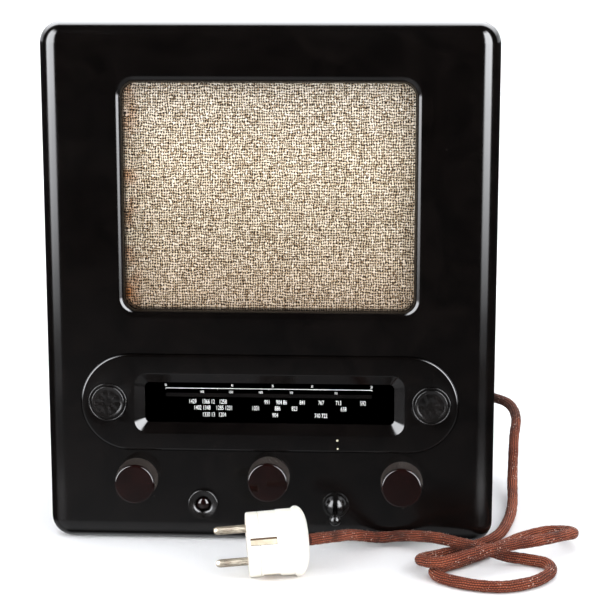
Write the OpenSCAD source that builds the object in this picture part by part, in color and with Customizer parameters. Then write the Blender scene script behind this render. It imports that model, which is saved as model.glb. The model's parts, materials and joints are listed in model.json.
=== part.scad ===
// Bakelite table radio of the late 1930s: moulded cabinet, dial with cord drive, moving-coil
// loudspeaker, three-valve chassis, perforated back and a braided mains lead with its plug.
// +Z is up, the front faces -Y, and the origin is at the middle of the base.

/* [Cabinet] */
// Width of the cabinet
body_w = 276; // [270:1:300]
// Height of the cabinet
body_h = 320.5; // [318:0.5:340]
// Depth of the cabinet, front face to back rim
body_d = 165; // [165:1:190]
// Thickness of the moulded walls
wall = 4.5; // [3.5:0.5:5]
// Rounding of the front edges and of the upright corners
edge_r = 13; // [8:1:14]

/* [Loudspeaker opening] */
// Width of the opening at the cloth
opening_w = 176; // [168:1:180]
// Height of the opening at the cloth
opening_h = 138; // [130:1:140]
// Height of the opening's centre above the base
opening_z = 215.3; // [214:0.1:217]
// Outer radius of the loudspeaker's frame
speaker_r = 74; // [72:1:74]

/* [Dial] */
// Width of the oval dial panel
dial_w = 231.5; // [228:0.5:240]
// Height of the oval dial panel
dial_h = 60.3; // [58:0.1:61]
// Height of the dial's centre above the base
dial_z = 89.2; // [89:0.1:90]
// Travel of the pointer's cord on the drum, as the radius of the drum
drum_r = 40; // [38:0.5:40]
// Radius at which the drive cord runs on the tuning spindle
spindle_r = 5; // [5:0.5:5.5]

/* [Controls] */
// Diameter of the three knobs
knob_d = 25.8; // [22:0.2:27]
// How far the knobs stand out from the front
knob_out = 16.4; // [15:0.2:18]
// Distance of the outer knobs from the middle
knob_x = 81.5; // [80:0.5:83]
// Height of the outer knobs' centres
knob_z = 41.2; // [40:0.2:43]
// Height of the tuning knob's centre
tune_z = 43.3; // [42:0.1:44]
// Radius of the control shafts
shaft_r = 3; // [2.5:0.1:3]

/* [Lead and plug] */
// Diameter of the braided lead
cord_d = 7; // [6:0.5:7]
// Distance between the plug's two pins
pin_pitch = 19; // [19:0.5:20]
// Diameter of a plug pin
pin_d = 4.8; // [4:0.1:5]

/* [Hidden] */
$fn = 48;

bakelite = [0.09, 0.07, 0.065];
maroon = [0.22, 0.09, 0.075];
steel = [0.62, 0.63, 0.65];
brass = [0.78, 0.63, 0.35];
pertinax = [0.45, 0.28, 0.14];

front_y = -(body_d + knob_out) / 2 + knob_out;
front_t = 5;
floor_z = 5;
eps = 0.01;

// Depths behind the front face
bezel_proud = 1.8;
pocket_d = 3;
rim_d = 13;
cloth_t = 0.8;
baffle_d = rim_d + cloth_t;
baffle_t = 8;
frame_d = baffle_d + baffle_t;
apron_d = 30;
chassis_back = 150;
panel_d = 160;
panel_t = 3;

chassis_z = 52;
chassis_t = 1.5;
drum_z = 94.5;
drum_d = 19.5;
drum_t = 8;
rim_groove = 3;
drive_groove = 6;
string_r = 0.5;
pulley_r = 5;
pulley_x = 92;
rail_z = 126;
rail_dd = 13;
rail_r = 2;
run_z = drum_z + drum_r + 2.9;
pulley_z = run_z - pulley_r;
pointer_x = -34.5;
rotor_rest = 40;
case_r = 16;
trimmer_x = -41;
trimmer_z = 25;
toggle_x = 41;
toggle_z = 25.5;
toggle_drop = 40;
medallion_x = 99.2;
window_z = dial_z - 0.5;
SHAFTS = [[-knob_x, knob_z], [0, tune_z], [knob_x, knob_z]];
plug_r = 19;
plug_flange_r = 20.6;
plug_len = 36;
flange_s = 28.5;
plug_tilt = atan((plug_flange_r - plug_r) / (flange_s - 0.5));
plug_yaw = 8;
plug_roll = -22;
plug_x = -8.7;
plug_front = -61;

// The lead's route, from the strain relief to the plug: across, behind the front face, up
ROUTE = [
  [102, 184, 48], [103, 196, 48], [113, 206, 48], [129, 207, 47.5], [145, 200, 47],
  [158, 188, 45], [162.5, 172, 39], [160, 150, 29], [157, 113, 11], [155, 78, 4], [150, 42, 3.7],
  [141, 10, 3.7], [124, -13, 3.7], [106, -27, 3.7], [95, -40, 5.5], [94, -56, 9.5],
  [105, -66, 12], [122, -57.5, 14], [143, -42, 14.5], [165, -25, 13], [181, -10, 11.5],
  [187.5, 2, 9], [184, 17, 5.5], [172, 20.5, 3.8], [156, 8, 3.7], [138, -15, 3.7],
  [119, -38, 3.7], [107, -49, 3.7], [101, -59, 3.7], [106, -70, 3.7], [122, -80, 3.7],
  [140, -82.6, 3.7], [158, -73, 3.7], [169, -56, 3.7], [168, -41, 3.7], [157, -34, 3.8],
  [144, -35, 6], [131, -36, 10.5], [118, -30.5, 11.8], [101, -18, 11.3], [84, -4, 7.5],
  [68, -5, 6.5], [52, -21, 13], [42, -43, 19], [27, -55.98, 21]];

// ---- helpers ----

// Place children by distance across, depth behind the front face, and height
module at(x, d, z) {
  translate([x, front_y + d, z]) children();
}

// Extrude an upright outline from depth d0 to depth d1
module upright(d0, d1) {
  translate([0, front_y + d1, 0]) rotate([90, 0, 0]) linear_extrude(d1 - d0) children();
}

// A cylinder along the depth direction, from d0 to d1
module rod(x, z, r, d0, d1) {
  at(x, d0, z) rotate([-90, 0, 0]) cylinder(h = d1 - d0, r = r);
}

// A profile of [radius, depth] points turned about a front-to-back axis
module turned(x, z, points) {
  at(x, 0, z) rotate([-90, 0, 0]) rotate_extrude() polygon(points);
}

// A block between two corners given as across, depth, height
module block(lo, hi) {
  translate([lo[0], front_y + lo[1], lo[2]])
    cube([hi[0] - lo[0], hi[1] - lo[1], hi[2] - lo[2]]);
}

module rounded_rect(w, h, r) {
  square([w - 2 * r, h], center = true);
  square([w, h - 2 * r], center = true);
  for (sx = [-1, 1], sy = [-1, 1])
    translate([sx * (w / 2 - r), sy * (h / 2 - r)]) circle(r);
}

module obround(w, h) {
  square([w - h, h], center = true);
  for (s = [-1, 1])
    translate([s * (w - h) / 2, 0]) circle(h / 2);
}

// ---- cabinet ----

module cabinet_outside() {
  steps = 8;
  hull() {
    for (k = [0 : steps]) {
      inset = edge_r * (1 - cos(90 * k / steps));
      depth = edge_r * (1 - sin(90 * k / steps));
      upright(depth, k == 0 ? body_d : depth + eps)
        translate([0, body_h / 2])
          rounded_rect(body_w - 2 * inset, body_h - 2 * inset,
            max(edge_r - inset, 0.4), $fn = 32);
    }
  }
}

// The rounded front edge of the loudspeaker opening, cut in short steps
module opening_flare() {
  steps = 4;
  flare = 4.4;
  for (k = [0 : steps - 1])
    hull()
      for (j = [k, k + 1]) {
        d = flare * (1 - cos(90 * j / steps));
        grow = flare * (1 - sin(90 * j / steps));
        upright(d - (j == 0 ? 0.2 : 0), d + eps)
          translate([0, opening_z])
            rounded_rect(opening_w + 2 * grow, opening_h + 2 * grow, 8 + grow, $fn = 32);
      }
}

module corner_bosses() {
  for (sx = [-1, 1], z = [14, body_h - 14])
    block([sx > 0 ? body_w / 2 - 20 : -body_w / 2 + wall - 0.5, panel_d - 22, z - 8],
      [sx > 0 ? body_w / 2 - wall + 0.5 : -body_w / 2 + 20, panel_d, z + 8]);
}

baffle_bosses = [for (sx = [-1, 1], sz = [-1, 1]) [sx * 101, opening_z + sz * 62]];
chassis_bolts = [for (x = [-105, 105], d = [42, 138]) [x, d]];

module cabinet() {
  color(bakelite) difference() {
    union() {
      difference() {
        cabinet_outside();
        upright(front_t, body_d + 1)
          translate([0, (body_h + floor_z - wall) / 2])
            rounded_rect(body_w - 2 * wall, body_h - wall - floor_z, 9);
      }
      upright(front_t - 0.5, rim_d)
        translate([0, opening_z])
          rounded_rect(opening_w + 8, opening_h + 8, 10);
      for (b = baffle_bosses)
        rod(b[0], b[1], 5, front_t - 0.5, baffle_d);
      corner_bosses();
    }
    upright(-1, rim_d + 1)
      translate([0, opening_z])
        rounded_rect(opening_w, opening_h, 8);
    opening_flare();
    upright(-1, pocket_d)
      translate([0, dial_z])
        obround(dial_w + 0.3, dial_h + 0.3);
    upright(-1, front_t + 1)
      translate([0, window_z])
        rounded_rect(158, 30, 3);
    for (s = [-1, 1])
      rod(s * medallion_x, dial_z, 2.2, 0, front_t + 1);
    for (s = SHAFTS)
      rod(s[0], s[1], 4.6, -1, front_t + 1);
    rod(trimmer_x, trimmer_z, 6, -1, front_t + 1);
    rod(toggle_x, toggle_z, 6.5, -1, front_t + 1);
    for (b = baffle_bosses)
      rod(b[0], b[1], 1.5, front_t, baffle_d + 1);
    for (sx = [-1, 1], z = [14, body_h - 14])
      rod(sx * (body_w / 2 - 12), z, 1.5, panel_d - 14, panel_d + 1);
    for (b = chassis_bolts) {
      at(b[0], b[1], -1) cylinder(h = floor_z + 2, r = 2.2);
      at(b[0], b[1], -1) cylinder(h = 3.6, r = 5.5);
    }
  }
}

module cabinet_screws() {
  color(steel) {
    for (b = chassis_bolts) {
      at(b[0], b[1], 0.6) cylinder(h = 2, r = 4.5);
      at(b[0], b[1], 2.6) cylinder(h = 8, r = 2);
    }
    for (b = baffle_bosses) {
      rod(b[0], b[1], 4, frame_d, frame_d + 2);
      rod(b[0], b[1], 1.5, front_t + 2, frame_d);
    }
  }
}

// ---- dial ----

module dial_bezel() {
  steps = 3;
  edge = 1.5;
  color(bakelite) difference() {
    hull() {
      for (k = [0 : steps]) {
        inset = edge * (1 - cos(90 * k / steps));
        depth = edge * (1 - sin(90 * k / steps)) - bezel_proud;
        upright(depth, k == 0 ? pocket_d : depth + eps)
          translate([0, dial_z])
            obround(dial_w - 2 * inset, dial_h - 2 * inset);
      }
    }
    hull() {
      upright(-bezel_proud - 0.3, -bezel_proud)
        translate([0, window_z]) rounded_rect(165.4, 37.3, 8, $fn = 32);
      upright(2.2, 2.2 + eps)
        translate([0, window_z]) rounded_rect(153.4, 25.3, 3, $fn = 32);
    }
    upright(-1, pocket_d + 1)
      translate([0, window_z]) rounded_rect(153.4, 25.3, 3);
    for (s = [-1, 1]) {
      rod(s * medallion_x, dial_z, 12, -bezel_proud - 1, 1.2);
      rod(s * medallion_x, dial_z, 2.1, 0, pocket_d + 1);
    }
  }
}

module dial_glass() {
  color([0.05, 0.05, 0.06]) upright(pocket_d, front_t)
    translate([0, window_z]) rounded_rect(157.4, 29.4, 2.6);
}

module dial_retainer() {
  color(steel) upright(front_t, front_t + 1.2) difference() {
    translate([0, window_z]) rounded_rect(172, 38, 3);
    translate([0, window_z]) square([148, 22], center = true);
  }
}

module dial_reflector() {
  color([0.9, 0.9, 0.86]) difference() {
    block([-78, front_t + 1.2, 73], [78, 16, 106]);
    block([-76.5, front_t, 74.5], [76.5, 14.8, 107]);
    at(70, 11, 90) rotate([0, 90, 0]) cylinder(h = 10, r = 5.8);
  }
}

module medallion(x) {
  color(bakelite) {
    turned(x, dial_z, [[0, 1.2], [11.9, 1.2], [11.9, -2.2], [11.6, -2.5], [11.0, -2.5],
      [10.7, -1.3], [10.2, -1.3], [9.8, -2.2], [7, -1.7], [0, -1.4]]);
    rod(x, dial_z, 2, 1.2, front_t - 0.2);
  }
}

module medallion_left() {
  medallion(-medallion_x);
}

module medallion_right() {
  medallion(medallion_x);
}

module pointer() {
  color([0.75, 0.2, 0.12]) difference() {
    union() {
      block([pointer_x - 0.6, 7.6, 86], [pointer_x + 0.6, 8.6, 130]);
      block([pointer_x - 5, 7.6, 121], [pointer_x + 5, 17, 131]);
      block([pointer_x - 3, 15.6, 130.5], [pointer_x + 3, 17, 136]);
      block([pointer_x - 3, 15.6, run_z - 1.5], [pointer_x + 3, 24.4, run_z + 1.5]);
    }
    at(pointer_x - 10, rail_dd, rail_z) rotate([0, 90, 0]) cylinder(h = 20, r = rail_r + 0.06);
    at(pointer_x - 10, drum_d + rim_groove, run_z)
      rotate([0, 90, 0]) cylinder(h = 20, r = 2 * string_r);
  }
}

module pointer_rail() {
  color(steel) {
    at(-pulley_x - 12, rail_dd, rail_z) rotate([0, 90, 0]) cylinder(h = 2 * pulley_x + 24, r = rail_r);
    for (s = [-1, 1]) {
      block([s * (pulley_x + 10) - 3, front_t, 120], [s * (pulley_x + 10) + 3, 16.5, 139]);
      block([s * (pulley_x + 2) - 9, 15, 126], [s * (pulley_x + 2) + 9, 16.5, 139]);
      rod(s * pulley_x, pulley_z, 1.5, 16, 27);
      rod(s * pulley_x, pulley_z, 2.6, 25.8, 27);
    }
  }
}

module pulley(x) {
  color(brass) difference() {
    turned(x, pulley_z, [[0.5, 20], [6.3, 20], [6.3, 21], [4.2, 21.8], [4.2, 23.2],
      [6.3, 24], [6.3, 25], [0.5, 25]]);
    rod(x, pulley_z, 1.55, 19, 26);
  }
}

module pulley_left() {
  pulley(-pulley_x);
}

module pulley_right() {
  pulley(pulley_x);
}

// ---- cord drive ----

// One edge of a string pulled tight round wheels given as [x, z, radius] in clockwise order
function string_edge(wheels, off) =
  let (n = len(wheels))
  [for (i = [0 : n - 1])
    let (
      last = wheels[(i + n - 1) % n],
      here = wheels[i],
      next = wheels[(i + 1) % n],
      first = leave_angle(last, here),
      turn = (first - leave_angle(here, next) + 720) % 360,
      steps = ceil(turn / 6)
    )
    for (k = [0 : steps])
      let (a = first - turn * k / steps)
      [here[0] + (here[2] + off) * cos(a), here[1] + (here[2] + off) * sin(a)]];

// Angle at which a taut string leaves wheel a on its way to wheel b
function leave_angle(a, b) =
  atan2(b[1] - a[1], b[0] - a[0]) + 90
    - asin((a[2] - b[2]) / norm([b[0] - a[0], b[1] - a[1]]));

module string_loop(depth, wheels) {
  upright(depth - string_r, depth + string_r) difference() {
    polygon(string_edge(wheels, string_r));
    polygon(string_edge(wheels, -string_r));
  }
}

module drive_cord() {
  color([0.8, 0.75, 0.6]) string_loop(drum_d + drive_groove,
    [[0, drum_z, drum_r], [0, tune_z, spindle_r]]);
}

module pointer_cord() {
  color([0.8, 0.75, 0.6]) string_loop(drum_d + rim_groove,
    [[-pulley_x, pulley_z, pulley_r], [pulley_x, pulley_z, pulley_r], [0, drum_z, drum_r]]);
}

module cord_drum() {
  bottom = drum_r - string_r - 0.4;
  lip = drum_r + 1;
  d = drum_d;
  color(pertinax) difference() {
    turned(0, drum_z, [[shaft_r, d], [lip, d], [lip, d + 2], [bottom, d + 2], [bottom, d + 4],
      [lip, d + 4], [lip, d + 5], [bottom, d + 5], [bottom, d + 7], [lip, d + 7],
      [lip, d + drum_t], [shaft_r, d + drum_t]]);
    for (a = [0 : 60 : 300])
      rod(24 * cos(a), drum_z + 24 * sin(a), 7.5, d - 1, d + drum_t + 1);
  }
}

module tuning_spindle() {
  groove = spindle_r - string_r - 0.3;
  d = drum_d + drive_groove;
  color(steel) {
    rod(0, tune_z, shaft_r, -12, 36);
    turned(0, tune_z, [[0, d - 3], [spindle_r + 1, d - 3], [spindle_r + 1, d - 1], [groove, d - 0.8],
      [groove, d + 0.8], [spindle_r + 1, d + 1], [spindle_r + 1, d + 3], [0, d + 3]]);
  }
}

module shaft_bushes() {
  color(brass) for (s = SHAFTS) difference() {
    union() {
      rod(s[0], s[1], 4.5, 0.8, 10);
      rod(s[0], s[1], 7, front_t, front_t + 1.6);
    }
    rod(s[0], s[1], shaft_r + 0.05, 0, 11);
  }
}

// ---- tuning capacitor ----

plate_pitch = 5.5;

module tuning_stator() {
  color(steel) {
    difference() {
      union() {
        block([-33, 33, 62], [33, 35, 127]);
        block([-33, 86, 62], [33, 88, 127]);
        block([-33, 33, 60.5], [33, 88, 62]);
      }
      rod(0, drum_z, shaft_r + 0.05, 30, 90);
    }
    for (k = [0 : 8])
      difference() {
        rod(0, drum_z, 28.5, 38 + k * plate_pitch, 39 + k * plate_pitch);
        rod(0, drum_z, 6, 37 + k * plate_pitch, 40 + k * plate_pitch);
        block([-2, 37, drum_z - 40], [40, 90, drum_z + 40]);
      }
    for (z = [80, 108])
      at(-30, 34, z) rotate([-90, 0, 0]) cylinder(h = 53, r = 2.5);
    for (z = [80, 108])
      block([-30, 37.9, z - 1.5], [-22, 83.1, z + 1.5]);
    for (x = [-28, 28], d = [38, 83])
      at(x, d, chassis_z) cylinder(h = 8.6, r = 3);
  }
}

module rotor_side() {
  for (k = [0 : 7])
    difference() {
      rod(0, drum_z, 20.5, 40.7 + k * plate_pitch, 41.8 + k * plate_pitch);
      block([0, 37, drum_z - 40], [40, 90, drum_z + 40]);
    }
}

module tuning_rotor() {
  color([0.75, 0.76, 0.78]) {
    rod(0, drum_z, shaft_r, 18, 90);
    translate([0, 0, drum_z]) rotate([0, rotor_rest, 0]) translate([0, 0, -drum_z]) rotor_side();
  }
}

// ---- knobs and the parts behind them ----

module knob(x, z) {
  r = knob_d / 2;
  color(maroon) difference() {
    turned(x, z, [[0, -knob_out], [r - 1.6, -knob_out], [r - 1, -knob_out + 0.3],
      [r - 0.75, -knob_out + 0.9], [r - 0.6, -knob_out + 2], [r, -0.8], [r - 0.3, -0.4],
      [0, -0.4]]);
    rod(x, z, shaft_r, -12, 1);
  }
}

module knob_left() {
  knob(-knob_x, knob_z);
}

module knob_centre() {
  knob(0, tune_z);
}

module knob_right() {
  knob(knob_x, knob_z);
}

// A small sealed variable capacitor whose vane turns inside its case
module control_case(x) {
  color(bakelite) difference() {
    union() {
      rod(x, knob_z, case_r, 14, 28);
      rod(x, knob_z, 5, 28, apron_d);
    }
    rod(x, knob_z, case_r - 2, 16, 26);
    rod(x, knob_z, shaft_r + 0.05, 13, 17);
  }
}

module control_shaft(x) {
  color(steel) {
    rod(x, knob_z, shaft_r, -12, 24);
    difference() {
      rod(x, knob_z, case_r - 4, 20, 21.5);
      block([x - 20, 19, knob_z], [x + 20, 22, knob_z + 20]);
    }
  }
}

module coupler_case() {
  control_case(-knob_x);
}

module coupler_shaft() {
  control_shaft(-knob_x);
}

module reaction_case() {
  control_case(knob_x);
}

module reaction_shaft() {
  control_shaft(knob_x);
}

module trimmer_collar() {
  color(bakelite) difference() {
    union() {
      turned(trimmer_x, trimmer_z, [[0, 0], [9.4, 0], [9.4, -2.2], [8.8, -3], [8, -3],
        [6.5, -1.6], [0, -1.2]]);
      rod(trimmer_x, trimmer_z, 5.9, -0.5, 12);
      rod(trimmer_x, trimmer_z, 9, front_t, 18);
    }
    rod(trimmer_x, trimmer_z, 4.1, -4, 16);
  }
}

module trimmer_spindle() {
  color(maroon) difference() {
    turned(trimmer_x, trimmer_z, [[0, -2.4], [2, -2.2], [3.2, -1.6], [4, -0.6], [4, 12],
      [2, 12], [2, 15.5], [0, 15.5]]);
    block([trimmer_x - 5, -3, trimmer_z - 0.5], [trimmer_x + 5, -1.4, trimmer_z + 0.5]);
  }
}

// ---- wave-range switch ----

pivot_d = -1;
lever_len = 14.5;
lever_ball = 3.6;
slot_w = 3;

module toggle_hub() {
  color(bakelite) difference() {
    union() {
      rod(toggle_x, toggle_z, 8.2, -1.2, 0);
      rod(toggle_x, toggle_z, 6.4, -1, 12);
      difference() {
        at(toggle_x, pivot_d, toggle_z) sphere(6.6);
        rod(toggle_x, toggle_z, 8, 0, 10);
      }
      block([toggle_x - 9, front_t, toggle_z - 12], [toggle_x + 9, 26, toggle_z + 12]);
    }
    block([toggle_x - slot_w / 2, -9, toggle_z - 4], [toggle_x + slot_w / 2, 6, toggle_z + 4]);
    block([toggle_x - slot_w / 2, -9, toggle_z - 8], [toggle_x + slot_w / 2, -1.3, toggle_z + 8]);
  }
  color(bakelite) at(toggle_x - 3.5, pivot_d, toggle_z) rotate([0, 90, 0]) cylinder(h = 7, r = 1);
}

module toggle_lever() {
  color(bakelite) translate([toggle_x, front_y + pivot_d, toggle_z]) rotate([toggle_drop, 0, 0])
    difference() {
      union() {
        translate([-1.2, 0, 0]) rotate([0, 90, 0]) cylinder(h = 2.4, r = 3);
        rotate([90, 0, 0]) cylinder(h = lever_len - lever_ball, r = 1.1);
        translate([0, -lever_len + lever_ball, 0]) sphere(lever_ball);
      }
      translate([-5, 0, 0]) rotate([0, 90, 0]) cylinder(h = 10, r = 1.05);
    }
}

// ---- dial lamp ----

module dial_lamp() {
  color([1, 0.95, 0.8, 0.5]) at(92, 11, 90) rotate([0, -90, 0])
    rotate_extrude() polygon([[0, 0], [4, 0], [4, 4], [5, 8], [4.2, 11], [2, 12.6], [0, 13]]);
}

module lamp_holder() {
  color(brass) {
    at(92, 11, 90) rotate([0, 90, 0]) cylinder(h = 13, r = 4.8);
    block([103, front_t, 83], [105, 16, 97]);
  }
}

// ---- loudspeaker ----

module speaker_cloth() {
  color([0.72, 0.64, 0.5]) upright(rim_d, baffle_d)
    translate([0, opening_z]) square([opening_w + 12, opening_h + 10], center = true);
}

module baffle_board() {
  color([0.6, 0.45, 0.28]) difference() {
    upright(baffle_d, frame_d) translate([0, opening_z + 0.4]) square([214, 147], center = true);
    rod(0, opening_z, speaker_r - 10, baffle_d - 1, frame_d + 1);
    for (b = baffle_bosses) rod(b[0], b[1], 1.6, baffle_d - 1, frame_d + 1);
  }
}

module speaker_basket() {
  r = speaker_r;
  color([0.2, 0.2, 0.22]) difference() {
    turned(0, opening_z, [[r - 8, frame_d], [r, frame_d], [r, frame_d + 2], [r - 3, frame_d + 2.5],
      [36, 56], [34, 60], [32, 62], [14.5, 62], [14.5, 60], [31, 60], [32, 55], [r - 8, frame_d + 2]]);
    for (a = [30 : 60 : 330])
      at(0, 30, opening_z) rotate([0, a, 0]) translate([28, 0, -9]) cube([36, 26, 18]);
  }
}

module speaker_surround() {
  r = speaker_r - 8;
  color([0.3, 0.22, 0.16]) turned(0, opening_z, [[r - 6.7, 22.4], [r - 5, 22.4], [r - 3.5, 23.2],
    [r - 2, 22.4], [r, 22.4], [r, 23.4], [r - 2, 23.4], [r - 3.5, 24.2], [r - 5, 23.4],
    [r - 6.7, 23.4]]);
}

module speaker_cone() {
  color([0.35, 0.3, 0.26]) turned(0, opening_z, [[0, 46], [6, 47], [11, 49.4], [12.2, 50.5],
    [speaker_r - 16, 24.3], [speaker_r - 15, 23.5], [speaker_r - 15, 24.6],
    [speaker_r - 15.6, 25.4], [13, 52.3], [12.2, 52.3], [11, 50.6], [6, 48.2], [0, 47.2]]);
}

module voice_coil() {
  color(brass) turned(0, opening_z, [[12.2, 52.3], [13, 52.3], [13, 70], [12.2, 70]]);
}

module speaker_spider() {
  color([0.5, 0.4, 0.25]) turned(0, opening_z, [[13.5, 56], [18, 56], [20, 56.8], [22, 56],
    [24, 56.8], [26, 56], [31.5, 56], [31.5, 57], [26, 57], [24, 57.8], [22, 57], [20, 57.8],
    [18, 57], [13.5, 57]]);
}

module speaker_magnet() {
  color([0.25, 0.25, 0.27]) turned(0, opening_z, [[0, 59], [11.5, 59], [11.5, 76], [13.7, 76],
    [13.7, 62], [30, 62], [30, 98], [28, 100], [0, 100]]);
}

module output_transformer() {
  foot = frame_d;
  color([0.3, 0.28, 0.27]) {
    block([78, foot, 160], [104, foot + 5, 190]);
    block([78, foot, 160], [104, foot + 28, 165]);
    block([78, foot, 185], [104, foot + 28, 190]);
    block([78, foot + 23, 160], [104, foot + 28, 190]);
    block([78, foot + 10, 164], [104, foot + 18, 186]);
  }
  color([0.6, 0.3, 0.15]) difference() {
    block([74, foot + 6, 166], [107, foot + 22, 184]);
    block([78, foot + 10, 160], [104, foot + 18, 190]);
  }
}

// ---- chassis and the parts on it ----

VALVES = [[-20, 118, 15], [24, 118, 17], [66, 90, 17]];

module chassis() {
  color([0.55, 0.56, 0.57]) difference() {
    union() {
      block([-118, apron_d, chassis_z - chassis_t], [118, chassis_back, chassis_z]);
      block([-118, apron_d, floor_z], [118, apron_d + chassis_t, chassis_z]);
      block([-118, chassis_back - chassis_t, floor_z], [118, chassis_back, chassis_z]);
      block([-118, apron_d, floor_z], [118, apron_d + 20, floor_z + chassis_t]);
      block([-118, chassis_back - 20, floor_z], [118, chassis_back, floor_z + chassis_t]);
    }
    for (v = VALVES) at(v[0], v[1], 45) cylinder(h = 10, r = 13);
    for (b = chassis_bolts) at(b[0], b[1], 0) cylinder(h = 10, r = 2);
    rod(0, tune_z, shaft_r + 0.05, apron_d - 1, apron_d + 3);
    at(102, 140, 48) rotate([-90, 0, 0]) cylinder(h = 20, r = 7);
  }
}

module mains_transformer_core() {
  color([0.32, 0.3, 0.3]) difference() {
    block([-104, 96, chassis_z], [-40, 132, chassis_z + 56]);
    block([-94, 90, chassis_z + 10], [-81, 140, chassis_z + 46]);
    block([-63, 90, chassis_z + 10], [-50, 140, chassis_z + 46]);
  }
}

module mains_transformer_coil() {
  color([0.62, 0.34, 0.16]) difference() {
    block([-93.5, 87, chassis_z + 11], [-50.5, 141, chassis_z + 45]);
    block([-81, 96, chassis_z], [-63, 132, chassis_z + 60]);
    block([-100, 80, chassis_z], [-94, 150, chassis_z + 60]);
  }
}

module smoothing_capacitors() {
  color([0.7, 0.7, 0.68]) {
    block([62, 112, chassis_z], [112, 144, chassis_z + 46]);
    at(100, 60, chassis_z) cylinder(h = 62, r = 14);
    at(100, 60, chassis_z + 62) cylinder(h = 3, r = 5);
  }
}

module valve_sockets() {
  color(bakelite) for (v = VALVES) at(v[0], v[1], 0) {
    translate([0, 0, chassis_z]) cylinder(h = 8, r = 19);
    translate([0, 0, chassis_z - 8]) cylinder(h = 8, r = 12.5);
  }
}

module valve_bases() {
  color([0.12, 0.08, 0.06]) for (v = VALVES) at(v[0], v[1], chassis_z + 8)
    rotate_extrude() polygon([[0, 0], [15.5, 0], [15.5, 3], [14, 4], [14, 26], [0, 26]]);
}

module valve_envelopes() {
  color([0.8, 0.82, 0.85, 0.6]) for (v = VALVES) at(v[0], v[1], chassis_z + 34)
    rotate_extrude() polygon([[0, 0], [13, 0], [v[2], 12], [v[2] + 4, 26], [v[2] + 4, 38],
      [v[2], 50], [12, 56], [9, 64], [4, 68], [0, 69]]);
}

module coil_former() {
  color([0.75, 0.62, 0.42]) difference() {
    at(-76, 62, chassis_z) cylinder(h = 70, r = 19);
    at(-76, 62, chassis_z - 1) cylinder(h = 72, r = 17.5);
  }
}

module coil_winding() {
  color([0.7, 0.4, 0.2]) for (z = [10, 30, 52]) difference() {
    at(-76, 62, chassis_z + z) cylinder(h = 12, r = 21);
    at(-76, 62, chassis_z + z - 1) cylinder(h = 14, r = 19.05);
  }
}

// Resistors and paper capacitors under the chassis, on their tag board
module component_board() {
  color(pertinax) {
    block([-60, 70, 16], [70, 110, 18]);
    for (x = [-50, 60], d = [74, 106]) at(x, d, floor_z) cylinder(h = 12, r = 3);
    for (k = [0 : 6])
      at(-48 + 17 * k, 76, 22) rotate([-90, 0, 0]) cylinder(h = 28, r = k % 2 == 0 ? 4.5 : 3);
    for (k = [0 : 6])
      block([-49 + 17 * k, 80, 17], [-47 + 17 * k, 100, 22]);
  }
}

// ---- back ----

module back_panel() {
  color(pertinax) difference() {
    upright(panel_d, panel_d + panel_t)
      translate([0, (body_h + floor_z - wall) / 2])
        rounded_rect(body_w - 2 * wall - 1, body_h - wall - floor_z - 1, 8.5);
    for (x = [-96 : 24 : 96], z = [130 : 24 : 274])
      rod(x, z, 5, panel_d - 1, panel_d + panel_t + 1);
    for (x = [-96 : 24 : 96])
      rod(x, 78, 5, panel_d - 1, panel_d + panel_t + 1);
    block([-100, panel_d - 1, 18], [-32, panel_d + panel_t + 1, 40]);
    rod(102, 48, 8, panel_d - 1, panel_d + panel_t + 1);
    for (sx = [-1, 1], z = [14, body_h - 14])
      rod(sx * (body_w / 2 - 12), z, 1.6, panel_d - 1, panel_d + panel_t + 1);
  }
}

module back_screws() {
  color(brass) for (sx = [-1, 1], z = [14, body_h - 14]) difference() {
    union() {
      turned(sx * (body_w / 2 - 12), z, [[0, 163], [4.5, 163], [4.2, 164.2], [2.8, 164.9], [0, 165]]);
      rod(sx * (body_w / 2 - 12), z, 1.5, panel_d - 12, 163.5);
    }
    block([sx * (body_w / 2 - 12) - 5, 164.2, z - 0.5], [sx * (body_w / 2 - 12) + 5, 166, z + 0.5]);
  }
}

SOCKETS = [-88, -66, -44];

module socket_strip() {
  color(pertinax) difference() {
    union() {
      block([-99, chassis_back, 19], [-33, chassis_back + 3, 39]);
      for (x = SOCKETS) rod(x, 29, 4.5, chassis_back + 3, panel_d - 0.5);
    }
    for (x = SOCKETS) rod(x, 29, 2.05, chassis_back - 1, panel_d + 1);
  }
}

module strain_relief() {
  tip = ROUTE[0][1];
  color([0.12, 0.1, 0.1]) turned(ROUTE[0][0], ROUTE[0][2], [[0, 157], [11, 157], [11, panel_d],
    [7.9, panel_d], [7.9, 164], [7, 166], [4.6, tip], [0, tip]]);
}

// ---- mains lead and plug ----

// One point of the smooth curve through the route
function spline(p, i, t) =
  let (n = len(p) - 1, a = p[max(i - 1, 0)], b = p[i], c = p[min(i + 1, n)], d = p[min(i + 2, n)])
  0.5 * (2 * b + (c - a) * t + (2 * a - 5 * b + 4 * c - d) * t * t
    + (3 * b - a - 3 * c + d) * pow(t, 3));

function unit(v) = v / norm(v);

// Carry a sideways direction along the curve without twisting it
function carry(dirs, i, side) =
  i >= len(dirs) ? [] :
  let (next = unit(side - (side * dirs[i]) * dirs[i])) concat([next], carry(dirs, i + 1, next));

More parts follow.
